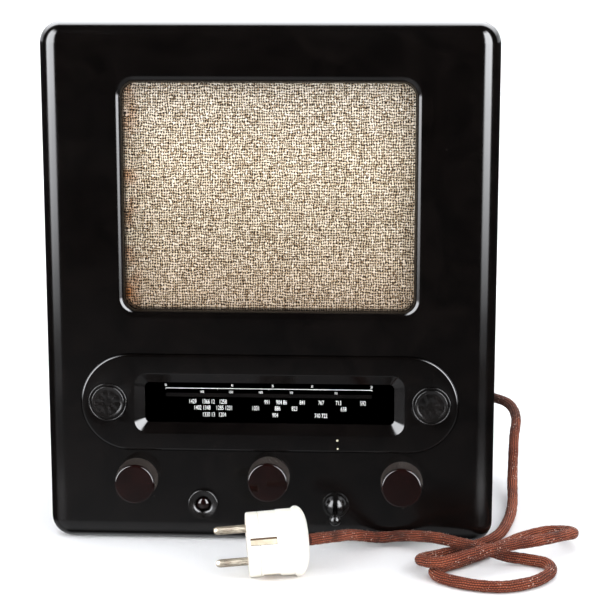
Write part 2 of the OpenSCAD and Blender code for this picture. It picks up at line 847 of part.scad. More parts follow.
module mains_cord() {
  sides = 8;
  last = len(ROUTE) - 1;
  path = concat([for (i = [0 : last - 1], t = [0, 0.5]) spline(ROUTE, i, t)], [ROUTE[last]]);
  n = len(path);
  inner = [for (i = [1 : n - 2]) unit(path[i + 1] - path[i - 1])];
  dirs = concat([[0, 1, 0]], inner, [[-cos(plug_yaw) * cos(plug_tilt),
    -sin(plug_yaw) * cos(plug_tilt), -sin(plug_tilt)]]);
  across = carry(dirs, 0, [1, 0, 0]);
  ring = [for (i = [0 : n - 1], k = [0 : sides - 1])
    path[i] + cord_d / 2 * (across[i] * cos(360 * k / sides)
      + cross(dirs[i], across[i]) * sin(360 * k / sides))];
  sidewalls = [for (i = [0 : n - 2], k = [0 : sides - 1])
    [i * sides + k, i * sides + (k + 1) % sides,
      (i + 1) * sides + (k + 1) % sides, (i + 1) * sides + k]];
  ends = [[for (k = [sides - 1 : -1 : 0]) k], [for (k = [0 : sides - 1]) (n - 1) * sides + k]];
  outward = [for (f = concat(sidewalls, ends)) [for (k = [len(f) - 1 : -1 : 0]) f[k]]];
  color([0.42, 0.2, 0.14]) translate([0, front_y, 0])
    polyhedron(points = ring, faces = outward);
}

// The plug lies on the floor on the edges of its nose and its flange
module plug_place() {
  nose_h = plug_r * cos(plug_tilt) - 0.5 * sin(plug_tilt);
  translate([plug_x, front_y + plug_front, nose_h])
    rotate([0, 0, plug_yaw]) rotate([0, -plug_tilt, 0]) rotate([0, 90, 0])
      rotate([0, 0, plug_roll]) children();
}

module plug_body() {
  r = plug_r;
  color([0.93, 0.9, 0.82]) plug_place() difference() {
    rotate_extrude() polygon([[0, 0], [r - 0.5, 0], [r, 0.5], [r, 6.8], [r - 0.3, 7.1],
      [r, 7.4], [r, 17.5], [r + 0.4, 17.8], [r + 0.4, flange_s - 1.6], [plug_flange_r, flange_s],
      [plug_flange_r, flange_s + 1.5], [plug_flange_r - 1.6, flange_s + 4],
      [14, plug_len - 1.5], [6, plug_len], [0, plug_len]]);
    for (s = [-1, 1])
      translate([s * pin_pitch / 2, 0, -1]) cylinder(h = 11, r = pin_d / 2 - 0.4);
    for (s = [0, 180]) {
      rotate([0, 0, s]) translate([-2.2, r - 2.4, 1.5]) cube([4.4, 4.4, 15.5]);
      rotate([0, 0, s]) translate([r - 1.2, -5, 8.3]) cube([4, 10, 10.5]);
    }
  }
}

module plug_pins() {
  color(steel) plug_place() for (s = [-1, 1]) translate([s * pin_pitch / 2, 0, 0])
    rotate_extrude() polygon([[0, -19], [1.2, -18.8], [2, -18], [pin_d / 2, -16.8],
      [pin_d / 2, -0.4], [pin_d / 2 - 0.4, -0.4], [pin_d / 2 - 0.4, 10], [0, 10]]);
}

module plug_clips() {
  color(steel) plug_place() for (s = [0, 180])
    rotate([0, 0, s]) translate([-1.9, plug_r - 2.4, 1.6]) cube([3, 1.4, 15.3]);
}

cabinet();
dial_bezel();
dial_glass();
dial_retainer();
dial_reflector();
medallion_left();
medallion_right();
pointer();
pointer_rail();
speaker_cloth();
baffle_board();
speaker_basket();
speaker_surround();
speaker_spider();
speaker_cone();
voice_coil();
speaker_magnet();
output_transformer();
chassis();
cabinet_screws();
mains_transformer_core();
mains_transformer_coil();
smoothing_capacitors();
tuning_stator();
tuning_rotor();
cord_drum();
drive_cord();
pointer_cord();
pulley_left();
pulley_right();
tuning_spindle();
shaft_bushes();
knob_left();
knob_centre();
knob_right();
coupler_case();
coupler_shaft();
reaction_case();
reaction_shaft();
trimmer_collar();
trimmer_spindle();
toggle_hub();
toggle_lever();
dial_lamp();
lamp_holder();
valve_sockets();
valve_bases();
valve_envelopes();
coil_former();
coil_winding();
component_board();
back_panel();
back_screws();
socket_strip();
strain_relief();
mains_cord();
plug_body();
plug_pins();
plug_clips();
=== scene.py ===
"""The looks of a bakelite table radio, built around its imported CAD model."""

import json
import math
import random

import bmesh
import bpy
from mathutils import Euler, Matrix, Vector


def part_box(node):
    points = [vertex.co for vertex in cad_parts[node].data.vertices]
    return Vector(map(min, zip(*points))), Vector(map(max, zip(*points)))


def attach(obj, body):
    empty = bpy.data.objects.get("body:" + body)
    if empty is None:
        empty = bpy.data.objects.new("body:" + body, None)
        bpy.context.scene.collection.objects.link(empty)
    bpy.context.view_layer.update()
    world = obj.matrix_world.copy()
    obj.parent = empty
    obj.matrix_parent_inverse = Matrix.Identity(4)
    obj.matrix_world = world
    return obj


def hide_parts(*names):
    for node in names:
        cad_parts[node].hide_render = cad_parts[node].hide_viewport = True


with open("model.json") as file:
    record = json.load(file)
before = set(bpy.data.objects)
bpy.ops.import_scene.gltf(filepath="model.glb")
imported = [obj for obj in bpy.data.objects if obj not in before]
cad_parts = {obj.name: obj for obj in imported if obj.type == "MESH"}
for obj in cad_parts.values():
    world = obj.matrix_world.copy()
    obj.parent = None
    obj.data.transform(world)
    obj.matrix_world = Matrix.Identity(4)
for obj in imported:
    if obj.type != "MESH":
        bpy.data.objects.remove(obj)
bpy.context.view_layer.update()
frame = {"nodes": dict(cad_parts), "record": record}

# ---------------------------------------------------------------- places and sizes
# Lengths are in millimetres until place() turns them into metres.

MM = 0.001
TAU = 2 * math.pi


def size_of(node):
    """Width, depth and height of a CAD node, in millimetres."""
    low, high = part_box(node)
    return [(b - a) / MM for a, b in zip(low, high)]


def centre_of(node):
    """Middle of a CAD node across and up, in millimetres."""
    low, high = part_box(node)
    return (low[0] + high[0]) / 2 / MM, (low[2] + high[2]) / 2 / MM


FRONT_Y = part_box("cabinet")[0][1]
BODY_W, BODY_D, BODY_H = size_of("cabinet")
EDGE_R = 13
WALL = 4.5
OPENING_W = 176
OPENING_H = 138
OPENING_Z = 215.3
OPENING_R = 8
FLARE = 4.4
RIM_D = 13
DIAL_W, _, DIAL_H = size_of("dial_bezel")
DIAL_Z = centre_of("dial_bezel")[1]
BEZEL_PROUD = 1.8
POCKET_D = 3
BEVEL_D = 2.2
WINDOW_Z = centre_of("dial_glass")[1]
WINDOW = (165.4, 37.3, 8)
SIGHT = (153.4, 25.3, 3)
GLASS_D = 3
MEDALLION_X = centre_of("medallion_right")[0]
KNOB_X = centre_of("knob_right")[0]
KNOB_Z = centre_of("knob_right")[1]
TUNE_Z = centre_of("knob_centre")[1]
KNOB_R = size_of("knob_right")[0] / 2
KNOB_OUT = 16.4
TRIMMER = centre_of("trimmer_collar")
TOGGLE = (centre_of("toggle_hub")[0], 25.5)
CORD_D = 7


def place(x, depth, z):
    """The point this far across, behind the front face and up."""
    return Vector((x * MM, FRONT_Y + depth * MM, z * MM))


def facing(x, z):
    """Turns lathe axes to the radio's: the lathe's Z runs from the front face backwards."""
    return (Matrix.Translation(place(x, 0, z)) @ Matrix.Rotation(math.radians(-90), 4, "X")
            @ Matrix.Scale(MM, 4))


# ---------------------------------------------------------------- camera and lead

def make_camera():
    """The photo's viewpoint: a little above and to the right, looking down."""
    data = bpy.data.cameras.new("camera")
    data.sensor_width = 36
    data.lens = 104.63
    data.clip_end = 200
    camera = bpy.data.objects.new("camera", data)
    camera.location = (0.0779, FRONT_Y - 1.0532, 0.3495)
    camera.rotation_euler = Euler((math.radians(90 - 10.667), 0, math.radians(3.034)))
    bpy.context.collection.objects.link(camera)
    bpy.context.scene.camera = camera


ROUTE = [
    (102, 184, 48), (103, 196, 48), (113, 206, 48), (129, 207, 47.5), (145, 200, 47),
    (158, 188, 45), (162.5, 172, 39), (160, 150, 29), (157, 113, 11), (155, 78, 4),
    (150, 42, 3.7), (141, 10, 3.7), (124, -13, 3.7), (106, -27, 3.7), (95, -40, 5.5),
    (94, -56, 9.5), (105, -66, 12), (122, -57.5, 14), (143, -42, 14.5), (165, -25, 13),
    (181, -10, 11.5), (187.5, 2, 9), (184, 17, 5.5), (172, 20.5, 3.8), (156, 8, 3.7),
    (138, -15, 3.7), (119, -38, 3.7), (107, -49, 3.7), (101, -59, 3.7), (106, -70, 3.7),
    (122, -80, 3.7), (140, -82.6, 3.7), (158, -73, 3.7), (169, -56, 3.7), (168, -41, 3.7),
    (157, -34, 3.8), (144, -35, 6), (131, -36, 10.5), (118, -30.5, 11.8), (101, -18, 11.3),
    (84, -4, 7.5), (68, -5, 6.5), (52, -21, 13), (42, -43, 19), (27, -55.98, 21)]


def smooth_route(points, steps):
    """A smooth curve through the points, as a list of positions in metres."""
    known = [place(*p) for p in points]
    path = []
    for i in range(len(known) - 1):
        a = known[max(i - 1, 0)]
        b = known[i]
        c = known[i + 1]
        d = known[min(i + 2, len(known) - 1)]
        for k in range(steps):
            t = k / steps
            path.append(0.5 * (2 * b + (c - a) * t + (2 * a - 5 * b + 4 * c - d) * t * t
                               + (3 * b - a - 3 * c + d) * t ** 3))
    path.append(known[-1])
    return path


def path_frames(path):
    """Position, direction and two sideways directions at each point of a path."""
    frames = []
    side = Vector((0, 0, 1))
    for i, point in enumerate(path):
        ahead = (path[min(i + 1, len(path) - 1)] - path[max(i - 1, 0)]).normalized()
        side = (side - side.dot(ahead) * ahead).normalized()
        frames.append((point, ahead, side, ahead.cross(side)))
    return frames


def lengths_along(path):
    """Distance from the start to each point of a path."""
    total = [0.0]
    for a, b in zip(path, path[1:]):
        total.append(total[-1] + (b - a).length)
    return total


# ---------------------------------------------------------------- mesh tools

def rounded_rect(w, h, r, n=8, cx=0, cz=0):
    """Outline of a rectangle with round corners, n steps to each corner."""
    points = []
    for quarter, (sx, sz) in enumerate([(1, 1), (-1, 1), (-1, -1), (1, -1)]):
        for k in range(n + 1):
            a = math.radians(90 * (quarter + k / n))
            points.append((cx + sx * (w / 2 - r) + r * math.cos(a),
                           cz + sz * (h / 2 - r) + r * math.sin(a)))
    return points


def obround(w, h, n=24, cx=0, cz=0):
    """Outline of a bar with half-round ends."""
    points = []
    for side in (1, -1):
        for k in range(2 * n + 1):
            a = math.radians(90 * (k / n - side))
            points.append((cx + side * (w - h) / 2 + h / 2 * math.cos(a), cz + h / 2 * math.sin(a)))
    return points


def circle(r, n=48, cx=0, cz=0):
    """Outline of a circle."""
    return [(cx + r * math.cos(TAU * k / n), cz + r * math.sin(TAU * k / n)) for k in range(n)]


def bridge(bm, a, b):
    """Faces between two rings of vertices of equal number."""
    n = len(a)
    for i in range(n):
        j = (i + 1) % n
        bm.faces.new((a[i], a[j], b[j], b[i]))


def stack(bm, outlines):
    """Rings of vertices at (outline, depth), joined one to the next; returns the rings."""
    rings = [[bm.verts.new(place(x, depth, z)) for x, z in outline] for outline, depth in outlines]
    for a, b in zip(rings, rings[1:]):
        bridge(bm, a, b)
    return rings


def fill(bm, *rings):
    """A flat face inside the first ring and outside the others."""
    edges = []
    for ring in rings:
        for i, vert in enumerate(ring):
            after = ring[(i + 1) % len(ring)]
            edges.append(bm.edges.get((vert, after)) or bm.edges.new((vert, after)))
    bmesh.ops.triangle_fill(bm, use_beauty=True, edges=edges, normal=(0, -1, 0))


def lathe(bm, profile, matrix, n=64, bend=None):
    """Turns (radius, height) points about Z. bend(index, angle) may give a change to both."""
    rings = []
    for index, (radius, height) in enumerate(profile):
        if radius == 0:
            rings.append([bm.verts.new(matrix @ Vector((0, 0, height)))])
            continue
        ring = []
        for k in range(n):
            angle = TAU * k / n
            dr, dh = bend(index, angle) if bend else (0, 0)
            ring.append(bm.verts.new(matrix @ Vector((
                (radius + dr) * math.cos(angle), (radius + dr) * math.sin(angle), height + dh))))
        rings.append(ring)
    for a, b in zip(rings, rings[1:]):
        if len(a) == 1 or len(b) == 1:
            tip, ring = (a[0], b) if len(a) == 1 else (b[0], a)
            for i in range(n):
                bm.faces.new((tip, ring[i], ring[(i + 1) % n]))
        else:
            bridge(bm, a, b)


def bar(bm, low, high, matrix=None, edge=0.0):
    """A block between two corners, with slightly broken edges, in the mesh's millimetres."""
    made = bmesh.ops.create_cube(bm, size=1)["verts"]
    for v in made:
        v.co = Vector([a + (b - a) * (c + 0.5) for a, b, c in zip(low, high, v.co)])
    if edge:
        edges = list({e for v in made for e in v.link_edges})
        made = bmesh.ops.bevel(bm, geom=edges, offset=edge, segments=3, profile=0.5,
                               affect="EDGES")["verts"]
    if matrix:
        for v in made:
            v.co = matrix @ v.co


def shade(obj, sharp):
    """Smooth shading, with edges kept where faces meet at more than this many degrees."""
    mesh = obj.data
    mesh.polygons.foreach_set("use_smooth", [True] * len(mesh.polygons))
    mesh.set_sharp_from_angle(angle=math.radians(sharp))
    weighted = obj.modifiers.new("even_shading", "WEIGHTED_NORMAL")
    weighted.keep_sharp = True


def finish_mesh(bm, name, material, body, replaces=(), sharp=40):
    """Makes the object, shades it and hangs it on its body."""
    bmesh.ops.recalc_face_normals(bm, faces=bm.faces)
    mesh = bpy.data.meshes.new(name)
    bm.to_mesh(mesh)
    bm.free()
    mesh.materials.append(material)
    obj = bpy.data.objects.new(name, mesh)
    bpy.context.collection.objects.link(obj)
    shade(obj, sharp)
    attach(obj, body)
    if replaces:
        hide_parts(*replaces)
    return obj


def carve(obj, bm, matrix, sharp):
    """Cuts a second mesh out of an object, both still in the lathe's axes, then places it."""
    bmesh.ops.recalc_face_normals(bm, faces=bm.faces)
    cutter = bpy.data.objects.new("cutter", bpy.data.meshes.new("cutter"))
    bm.to_mesh(cutter.data)
    bm.free()
    bpy.context.collection.objects.link(cutter)
    obj.modifiers.clear()
    cut = obj.modifiers.new("cut", "BOOLEAN")
    cut.object = cutter
    cut.solver = "EXACT"
    depsgraph = bpy.context.evaluated_depsgraph_get()
    carved = bpy.data.meshes.new_from_object(obj.evaluated_get(depsgraph))
    obj.modifiers.clear()
    obj.data = carved
    bpy.data.objects.remove(cutter)
    carved.transform(matrix)
    shade(obj, sharp)


# ---------------------------------------------------------------- material tools

class Look:
    """One node material under construction."""

    def __init__(self, name, roughness=0.5, metallic=0.0):
        self.material = bpy.data.materials.new(name)
        self.material.use_nodes = True
        self.nodes = self.material.node_tree.nodes
        self.links = self.material.node_tree.links
        self.shader = self.nodes["Principled BSDF"]
        self.shader.inputs["Roughness"].default_value = roughness
        self.shader.inputs["Metallic"].default_value = metallic
        self.height = None
        coords = self.nodes.new("ShaderNodeTexCoord")
        self.coords = coords.outputs["Object"]

    def put(self, socket, value):
        """Sets a socket to a number or colour, or links another socket to it."""
        if isinstance(value, bpy.types.NodeSocket):
            self.links.new(value, socket)
        elif isinstance(value, tuple) and socket.type == "RGBA":
            socket.default_value = (*value, 1.0)
        else:
            socket.default_value = value

    def node(self, kind, inputs=None, **settings):
        """A new node with its settings and inputs filled in."""
        node = self.nodes.new(kind)
        for key, value in settings.items():
            setattr(node, key, value)
        for key, value in (inputs or {}).items():
            self.put(node.inputs[key], value)
        return node

    def calc(self, operation, a, b=0.0, clamp=False):
        """One math operation on numbers or sockets."""
        node = self.node("ShaderNodeMath", {0: a, 1: b}, operation=operation, use_clamp=clamp)
        return node.outputs[0]

    def axis(self, name):
        """The object's own X, Y or Z coordinate, in metres."""
        return self.node("ShaderNodeSeparateXYZ", {0: self.coords}).outputs[name]

    def stretched(self, scale):
        """The object's coordinates, scaled by a different amount along each axis."""
        node = self.node("ShaderNodeMapping", {"Vector": self.coords, "Scale": scale})
        return node.outputs[0]

    def noise(self, scale, detail=3.0, vector=None, distortion=0.0, rough=0.5):
        """Soft cloudy noise from 0 to 1."""
        node = self.node("ShaderNodeTexNoise", {
            "Vector": vector or self.coords, "Scale": scale, "Detail": detail,
            "Roughness": rough, "Distortion": distortion})
        return node.outputs["Fac"]

    def cells(self, scale):
        """Distance to the nearest of many scattered points."""
        node = self.node("ShaderNodeTexVoronoi", {"Vector": self.coords, "Scale": scale})
        return node.outputs["Distance"]

    def span(self, value, low, high, to_low=0.0, to_high=1.0):
        """Maps a value from one range to another, held at both ends."""
        node = self.node("ShaderNodeMapRange", {
            "Value": value, "From Min": low, "From Max": high,
            "To Min": to_low, "To Max": to_high})
        return node.outputs[0]

    def ramp(self, value, stops):
        """A colour from a value, between (position, colour) stops."""
        node = self.node("ShaderNodeValToRGB", {"Fac": value})
        elements = node.color_ramp.elements
        while len(elements) < len(stops):
            elements.new(1.0)
        for element, (position, colour) in zip(elements, stops):
            element.position = position
            element.color = (*colour, 1.0)
        return node.outputs["Color"]

    def mix(self, factor, a, b, blend="MIX"):
        """Two colours mixed by a factor."""
        node = self.node("ShaderNodeMix", data_type="RGBA", blend_type=blend)
        self.put(node.inputs["Factor"], factor)
        self.put(node.inputs[6], a)
        self.put(node.inputs[7], b)
        return node.outputs[2]

    def colour(self, value):
        """Sets or links the base colour."""
        self.put(self.shader.inputs["Base Color"], value)

    def rough(self, value):
        """Sets or links the roughness."""
        self.put(self.shader.inputs["Roughness"], value)

    def raise_by(self, height, distance):
        """Adds a bump of this height field, in millimetres, on top of any earlier one."""
        node = self.node("ShaderNodeBump", {"Height": height, "Distance": distance * MM,
                                            "Strength": 1.0})
        if self.height:
            self.put(node.inputs["Normal"], self.height)
        self.height = node.outputs[0]
        self.put(self.shader.inputs["Normal"], self.height)

    def set(self, **values):
        """Sets shader sockets by name, with _ for each space."""
        for key, value in values.items():
            self.shader.inputs[key.replace("_", " ")].default_value = value


BAKELITE_SPECULAR = 0.28


def bakelite(name, dark, light, gloss, dust=0.0, dulled=0.0):
    """Polished phenolic moulding: faint marbling, smears, specks, dust, and a dulled foot."""
    look = Look(name)
    marbling = look.noise(38.0, 5.0, distortion=1.4)
    base = look.ramp(marbling, [(0.35, dark), (0.7, light)])
    speck = look.span(look.cells(120.0), 0.035, 0.015)
    speck = look.calc("MULTIPLY", speck, look.span(look.noise(19.0, 1.0), 0.57, 0.61))
    base = look.mix(look.calc("MULTIPLY", speck, 0.55), base, (0.16, 0.14, 0.12))
    film = look.calc("MULTIPLY", look.span(look.noise(900.0, 4.0), 0.35, 0.7),
                    look.span(look.noise(75.0, 3.0), 0.30, 0.65, 0.4, 1.0))
    look.colour(look.mix(look.calc("MULTIPLY", film, dust), base, (0.115, 0.100, 0.088)))
    smears = look.noise(11.0, 4.0, distortion=0.8)
    rough = look.span(smears, 0.35, 0.75, gloss, gloss + 0.09)
    height = look.axis("Z")
    rough = look.calc("ADD", rough, look.span(height, 0.060, 0.035, 0.0, dulled))
    look.rough(look.calc("ADD", rough, look.calc("MULTIPLY", speck, 0.4), clamp=True))
    look.raise_by(look.noise(160.0, 2.0), 0.006)
    look.raise_by(speck, 0.02)
    look.set(Specular_IOR_Level=BAKELITE_SPECULAR)
    return look.material


def grained(name, dark, light, scale, roughness, bump=0.05, metallic=0.0, stretch=(1, 1, 1)):
    """A plain material with grain of the given scale in its colour, gloss and surface."""
    look = Look(name, metallic=metallic)
    grain = look.noise(scale, 5.0, look.stretched(stretch))
    patches = look.noise(scale / 9, 3.0)
    both = look.calc("ADD", look.calc("MULTIPLY", grain, 0.6), look.calc("MULTIPLY", patches, 0.4))
    look.colour(look.ramp(both, [(0.32, dark), (0.68, light)]))
    look.rough(look.span(both, 0.3, 0.7, roughness - 0.08, roughness + 0.1))
    look.raise_by(grain, bump)
    return look.material


def wound(name, dark, light, pitch, axis, metallic=0.0, roughness=0.45):
    """Turns of wire or sheets of a stack: fine even lines along one axis."""
    look = Look(name, metallic=metallic)
    part = look.axis(axis)
    lines = look.calc("ABSOLUTE", look.calc("SINE", look.calc("MULTIPLY", part, math.pi / (pitch * MM))))
    tone = look.calc("ADD", look.calc("MULTIPLY", lines, 0.6),
                    look.calc("MULTIPLY", look.noise(140.0), 0.5))
    look.colour(look.ramp(tone, [(0.15, dark), (0.85, light)]))
    look.rough(look.span(look.noise(60.0), 0.3, 0.7, roughness - 0.1, roughness + 0.15))
    look.raise_by(lines, pitch * 0.3)
    return look.material


WARP_PITCH = 1.50
WEFT_PITCH = 1.68


def loudspeaker_cloth():
    """Loose plain weave of slubby cream, tan and brown yarns, with near-black painted shade in the gaps
    between them.
    """
    look = Look("loudspeaker_cloth", roughness=0.9)
    parts = look.node("ShaderNodeSeparateXYZ", {0: look.coords}).outputs
    drift_u = look.span(look.noise(190.0, 2.0), 0.0, 1.0, -0.9, 0.9)
    drift_v = look.span(look.noise(170.0, 2.0, look.stretched((1, 1, 1.3))), 0.0, 1.0, -0.9, 0.9)
    u = look.calc("ADD", look.calc("DIVIDE", parts["X"], WARP_PITCH * MM), drift_u)
    v = look.calc("ADD", look.calc("DIVIDE", parts["Z"], WEFT_PITCH * MM), drift_v)
    column = look.calc("FLOOR", u)
    row = look.calc("FLOOR", v)
    across = look.calc("SINE", look.calc("MULTIPLY", u, math.pi))
    up = look.calc("SINE", look.calc("MULTIPLY", v, math.pi))
    lift = look.calc("MULTIPLY", across, up)

    def yarn(number, along, own, seed):
        """Colour and thickness of the yarns that run one way."""
        spot = look.node("ShaderNodeCombineXYZ", {
            "X": look.calc("MULTIPLY", number, 7.31), "Y": look.calc("MULTIPLY", along, 0.7),
            "Z": seed}).outputs[0]
        slub = look.noise(1.1, 3.0, spot, rough=0.7)
        twist = look.noise(3.4, 2.0, spot)
        tone = look.calc("ADD", look.calc("MULTIPLY", slub, 0.65), look.calc("MULTIPLY", twist, 0.35))
        colour = look.ramp(tone, [
            (0.33, (0.13, 0.080, 0.045)), (0.42, (0.40, 0.29, 0.18)), (0.48, (0.61, 0.52, 0.38)),
            (0.55, (0.81, 0.72, 0.58)), (0.66, (0.94, 0.89, 0.80))])
        thick = look.calc("ABSOLUTE", own)
        thick = look.calc("ADD", thick, look.span(slub, 0.3, 0.7, -0.28, 0.16))
        return colour, thick

    warp_colour, warp = yarn(column, v, across, 3.0)
    weft_colour, weft = yarn(row, u, up, 11.0)
    warp_height = look.calc("ADD", warp, look.calc("MULTIPLY", lift, 0.35))
    weft_height = look.calc("SUBTRACT", weft, look.calc("MULTIPLY", lift, 0.35))
    over = look.calc("GREATER_THAN", warp_height, weft_height)
    height = look.calc("MAXIMUM", warp_height, weft_height)
    yarns = look.mix(over, weft_colour, warp_colour)
    # Painted shade: near-black wherever the yarns sink, in the gaps between them.
    colour = look.mix(look.span(height, 0.68, 0.92), (0.014, 0.009, 0.006), yarns)
    # Tone by height: darker and warmer towards the bottom of the cloth, brightest in the upper middle, a
    # little greyer at the top.
    tone_shift = look.ramp(look.span(parts["Z"], 0.146, 0.285), [
        (0.0, (0.71, 0.63, 0.575)), (0.35, (0.83, 0.785, 0.735)), (0.65, (1.04, 1.0, 0.96)),
        (1.0, (0.95, 0.94, 0.96))])
    colour = look.mix(1.0, colour, tone_shift, blend="MULTIPLY")
    stain = look.calc("MULTIPLY", look.span(parts["X"], -0.078, -0.087),
                     look.span(look.noise(45.0), 0.42, 0.60))
    look.colour(look.mix(stain, colour, (0.62, 0.30, 0.12), blend="MULTIPLY"))
    look.raise_by(height, 0.35)
    look.set(Specular_IOR_Level=0.15)
    return look.material


def braid():
    """Brown textile braid: fine ribs along the lead, stitched across, dusty in places, with painted
    shade in the grooves, painted highlight on the rib tops and painted shade where the lead climbs
    towards the back.
    """
    ribs = 15
    lay = 30.0    # ribs that cross a line along the lead, to each metre
    stitch = 1.5 * MM
    look = Look("cord_braid", roughness=0.85)
    uv = look.node("ShaderNodeUVMap", uv_map="along").outputs[0]
    parts = look.node("ShaderNodeSeparateXYZ", {0: uv}).outputs
    wander = look.span(look.noise(110.0, 3.0), 0.0, 1.0, -0.7, 0.7)
    round_it = look.calc("ADD", look.calc("MULTIPLY", parts["X"], ribs), wander)
    turned = look.calc("ADD", round_it, look.calc("MULTIPLY", parts["Y"], lay))
    rib = look.calc("ABSOLUTE", look.calc("SINE", look.calc("MULTIPLY", turned, math.pi)))
    number = look.calc("FLOOR", turned)
    phase = look.calc("ADD", look.calc("DIVIDE", parts["Y"], stitch), look.calc("MULTIPLY", number, 0.5))
    knot = look.calc("ABSOLUTE", look.calc("SINE", look.calc("MULTIPLY", phase, math.pi)))
    height = look.calc("ADD", look.calc("MULTIPLY", rib, 0.75), look.calc("MULTIPLY", knot, 0.25))
    wear = look.noise(55.0, 4.0)
    # Painted shade and highlight: the ribs' height darkens the grooves and lightens the rib tops, mixed
    # with wear that is the braid's own.
    tone = look.calc("ADD", look.calc("MULTIPLY", height, 0.65), look.calc("MULTIPLY", wear, 0.5))
    base = look.ramp(tone, [
        (0.30, (0.009, 0.0025, 0.002)), (0.52, (0.046, 0.011, 0.006)),
        (0.72, (0.135, 0.031, 0.015)), (0.90, (0.30, 0.092, 0.048))])
    soot = look.calc("MULTIPLY", look.span(look.noise(150.0, 3.0), 0.35, 0.65),
                    look.span(look.noise(30.0, 3.0), 0.46, 0.62, 0.1, 0.85))
    base = look.mix(soot, base, (0.020, 0.008, 0.006))
    # Painted shade: the lead is darkened where it climbs above 34 mm, towards the back of the cabinet.
    high = look.axis("Z")
    base = look.mix(look.span(high, 0.034, 0.047, 0.0, 0.6), base, (0.016, 0.009, 0.007))
    lint = look.calc("MULTIPLY", look.span(look.cells(520.0), 0.28, 0.14),
                    look.span(look.noise(90.0, 2.0), 0.54, 0.60, 0.0, 0.9))
    look.colour(look.mix(lint, base, (0.52, 0.42, 0.36)))
    look.raise_by(height, 0.42)
    look.raise_by(look.noise(1800.0, 2.0), 0.06)
    look.set(Specular_IOR_Level=0.15)
    return look.material


def cream_plastic():
    """Old white moulding, a little yellowed, with warm brown painted shade along its lowest part, next
    to the floor.
    """
    look = Look("cream_plastic")
    tone_shift = look.noise(30.0, 4.0)
    base = look.ramp(tone_shift, [(0.3, (0.84, 0.80, 0.71)), (0.7, (0.92, 0.91, 0.86))])
    # Painted shade: warm brown over the lowest 7 mm, next to the floor, made patchy by the tone noise.
    low = look.span(look.axis("Z"), 0.007, 0.0, 0.0, 0.55)
    base = look.mix(look.calc("MULTIPLY", low, look.span(tone_shift, 0.35, 0.6)), base, (0.55, 0.42, 0.26))
    fleck = look.calc("MULTIPLY", look.span(look.cells(180.0), 0.05, 0.03),
                     look.span(look.noise(60.0), 0.58, 0.62, 0.0, 0.6))
    look.colour(look.mix(fleck, base, (0.30, 0.22, 0.15)))
    look.rough(look.span(look.noise(45.0, 4.0), 0.3, 0.7, 0.32, 0.5))
    look.raise_by(look.noise(220.0, 3.0), 0.02)
    look.set(Specular_IOR_Level=0.45, Subsurface_Weight=0.05, Subsurface_Scale=0.002)
    return look.material


def nickel():
    """Nickel plate gone warm and scratched along its length."""
    look = Look("nickel", metallic=0.6)
    drawn = look.noise(30.0, 3.0, look.stretched((4, 60, 60)))
    tarnish = look.noise(120.0, 4.0)
    look.colour(look.mix(look.span(tarnish, 0.4, 0.7),
                         look.ramp(drawn, [(0.35, (0.36, 0.31, 0.24)), (0.65, (0.60, 0.54, 0.44))]),
                         (0.30, 0.25, 0.19)))
    look.rough(look.span(drawn, 0.3, 0.7, 0.24, 0.42))
    look.raise_by(drawn, 0.02)
    return look.material


def dial_black():
    """Glass with a black back: deep gloss with a film of dust."""
    look = Look("dial_glass")
    dust = look.noise(240.0, 5.0)
    film = look.span(look.noise(20.0, 3.0), 0.45, 0.75)
    look.colour(look.mix(look.calc("MULTIPLY", film, 0.3),
                         look.ramp(dust, [(0.45, (0.003, 0.003, 0.0035)), (0.8, (0.012, 0.012, 0.012))]),
                         (0.018, 0.018, 0.018)))
    look.rough(look.span(dust, 0.35, 0.75, 0.05, 0.16))
    look.raise_by(dust, 0.003)
    return look.material


def clear_glass(name, tint):
    """Slightly uneven clear glass."""
    look = Look(name)
    look.colour(look.ramp(look.noise(60.0), [(0.3, tint), (0.7, (0.97, 0.98, 0.98))]))
    look.rough(look.span(look.noise(90.0, 3.0), 0.3, 0.7, 0.03, 0.12))
    look.set(Transmission_Weight=0.85, IOR=1.45)
    return look.material


# ---------------------------------------------------------------- cabinet and dial

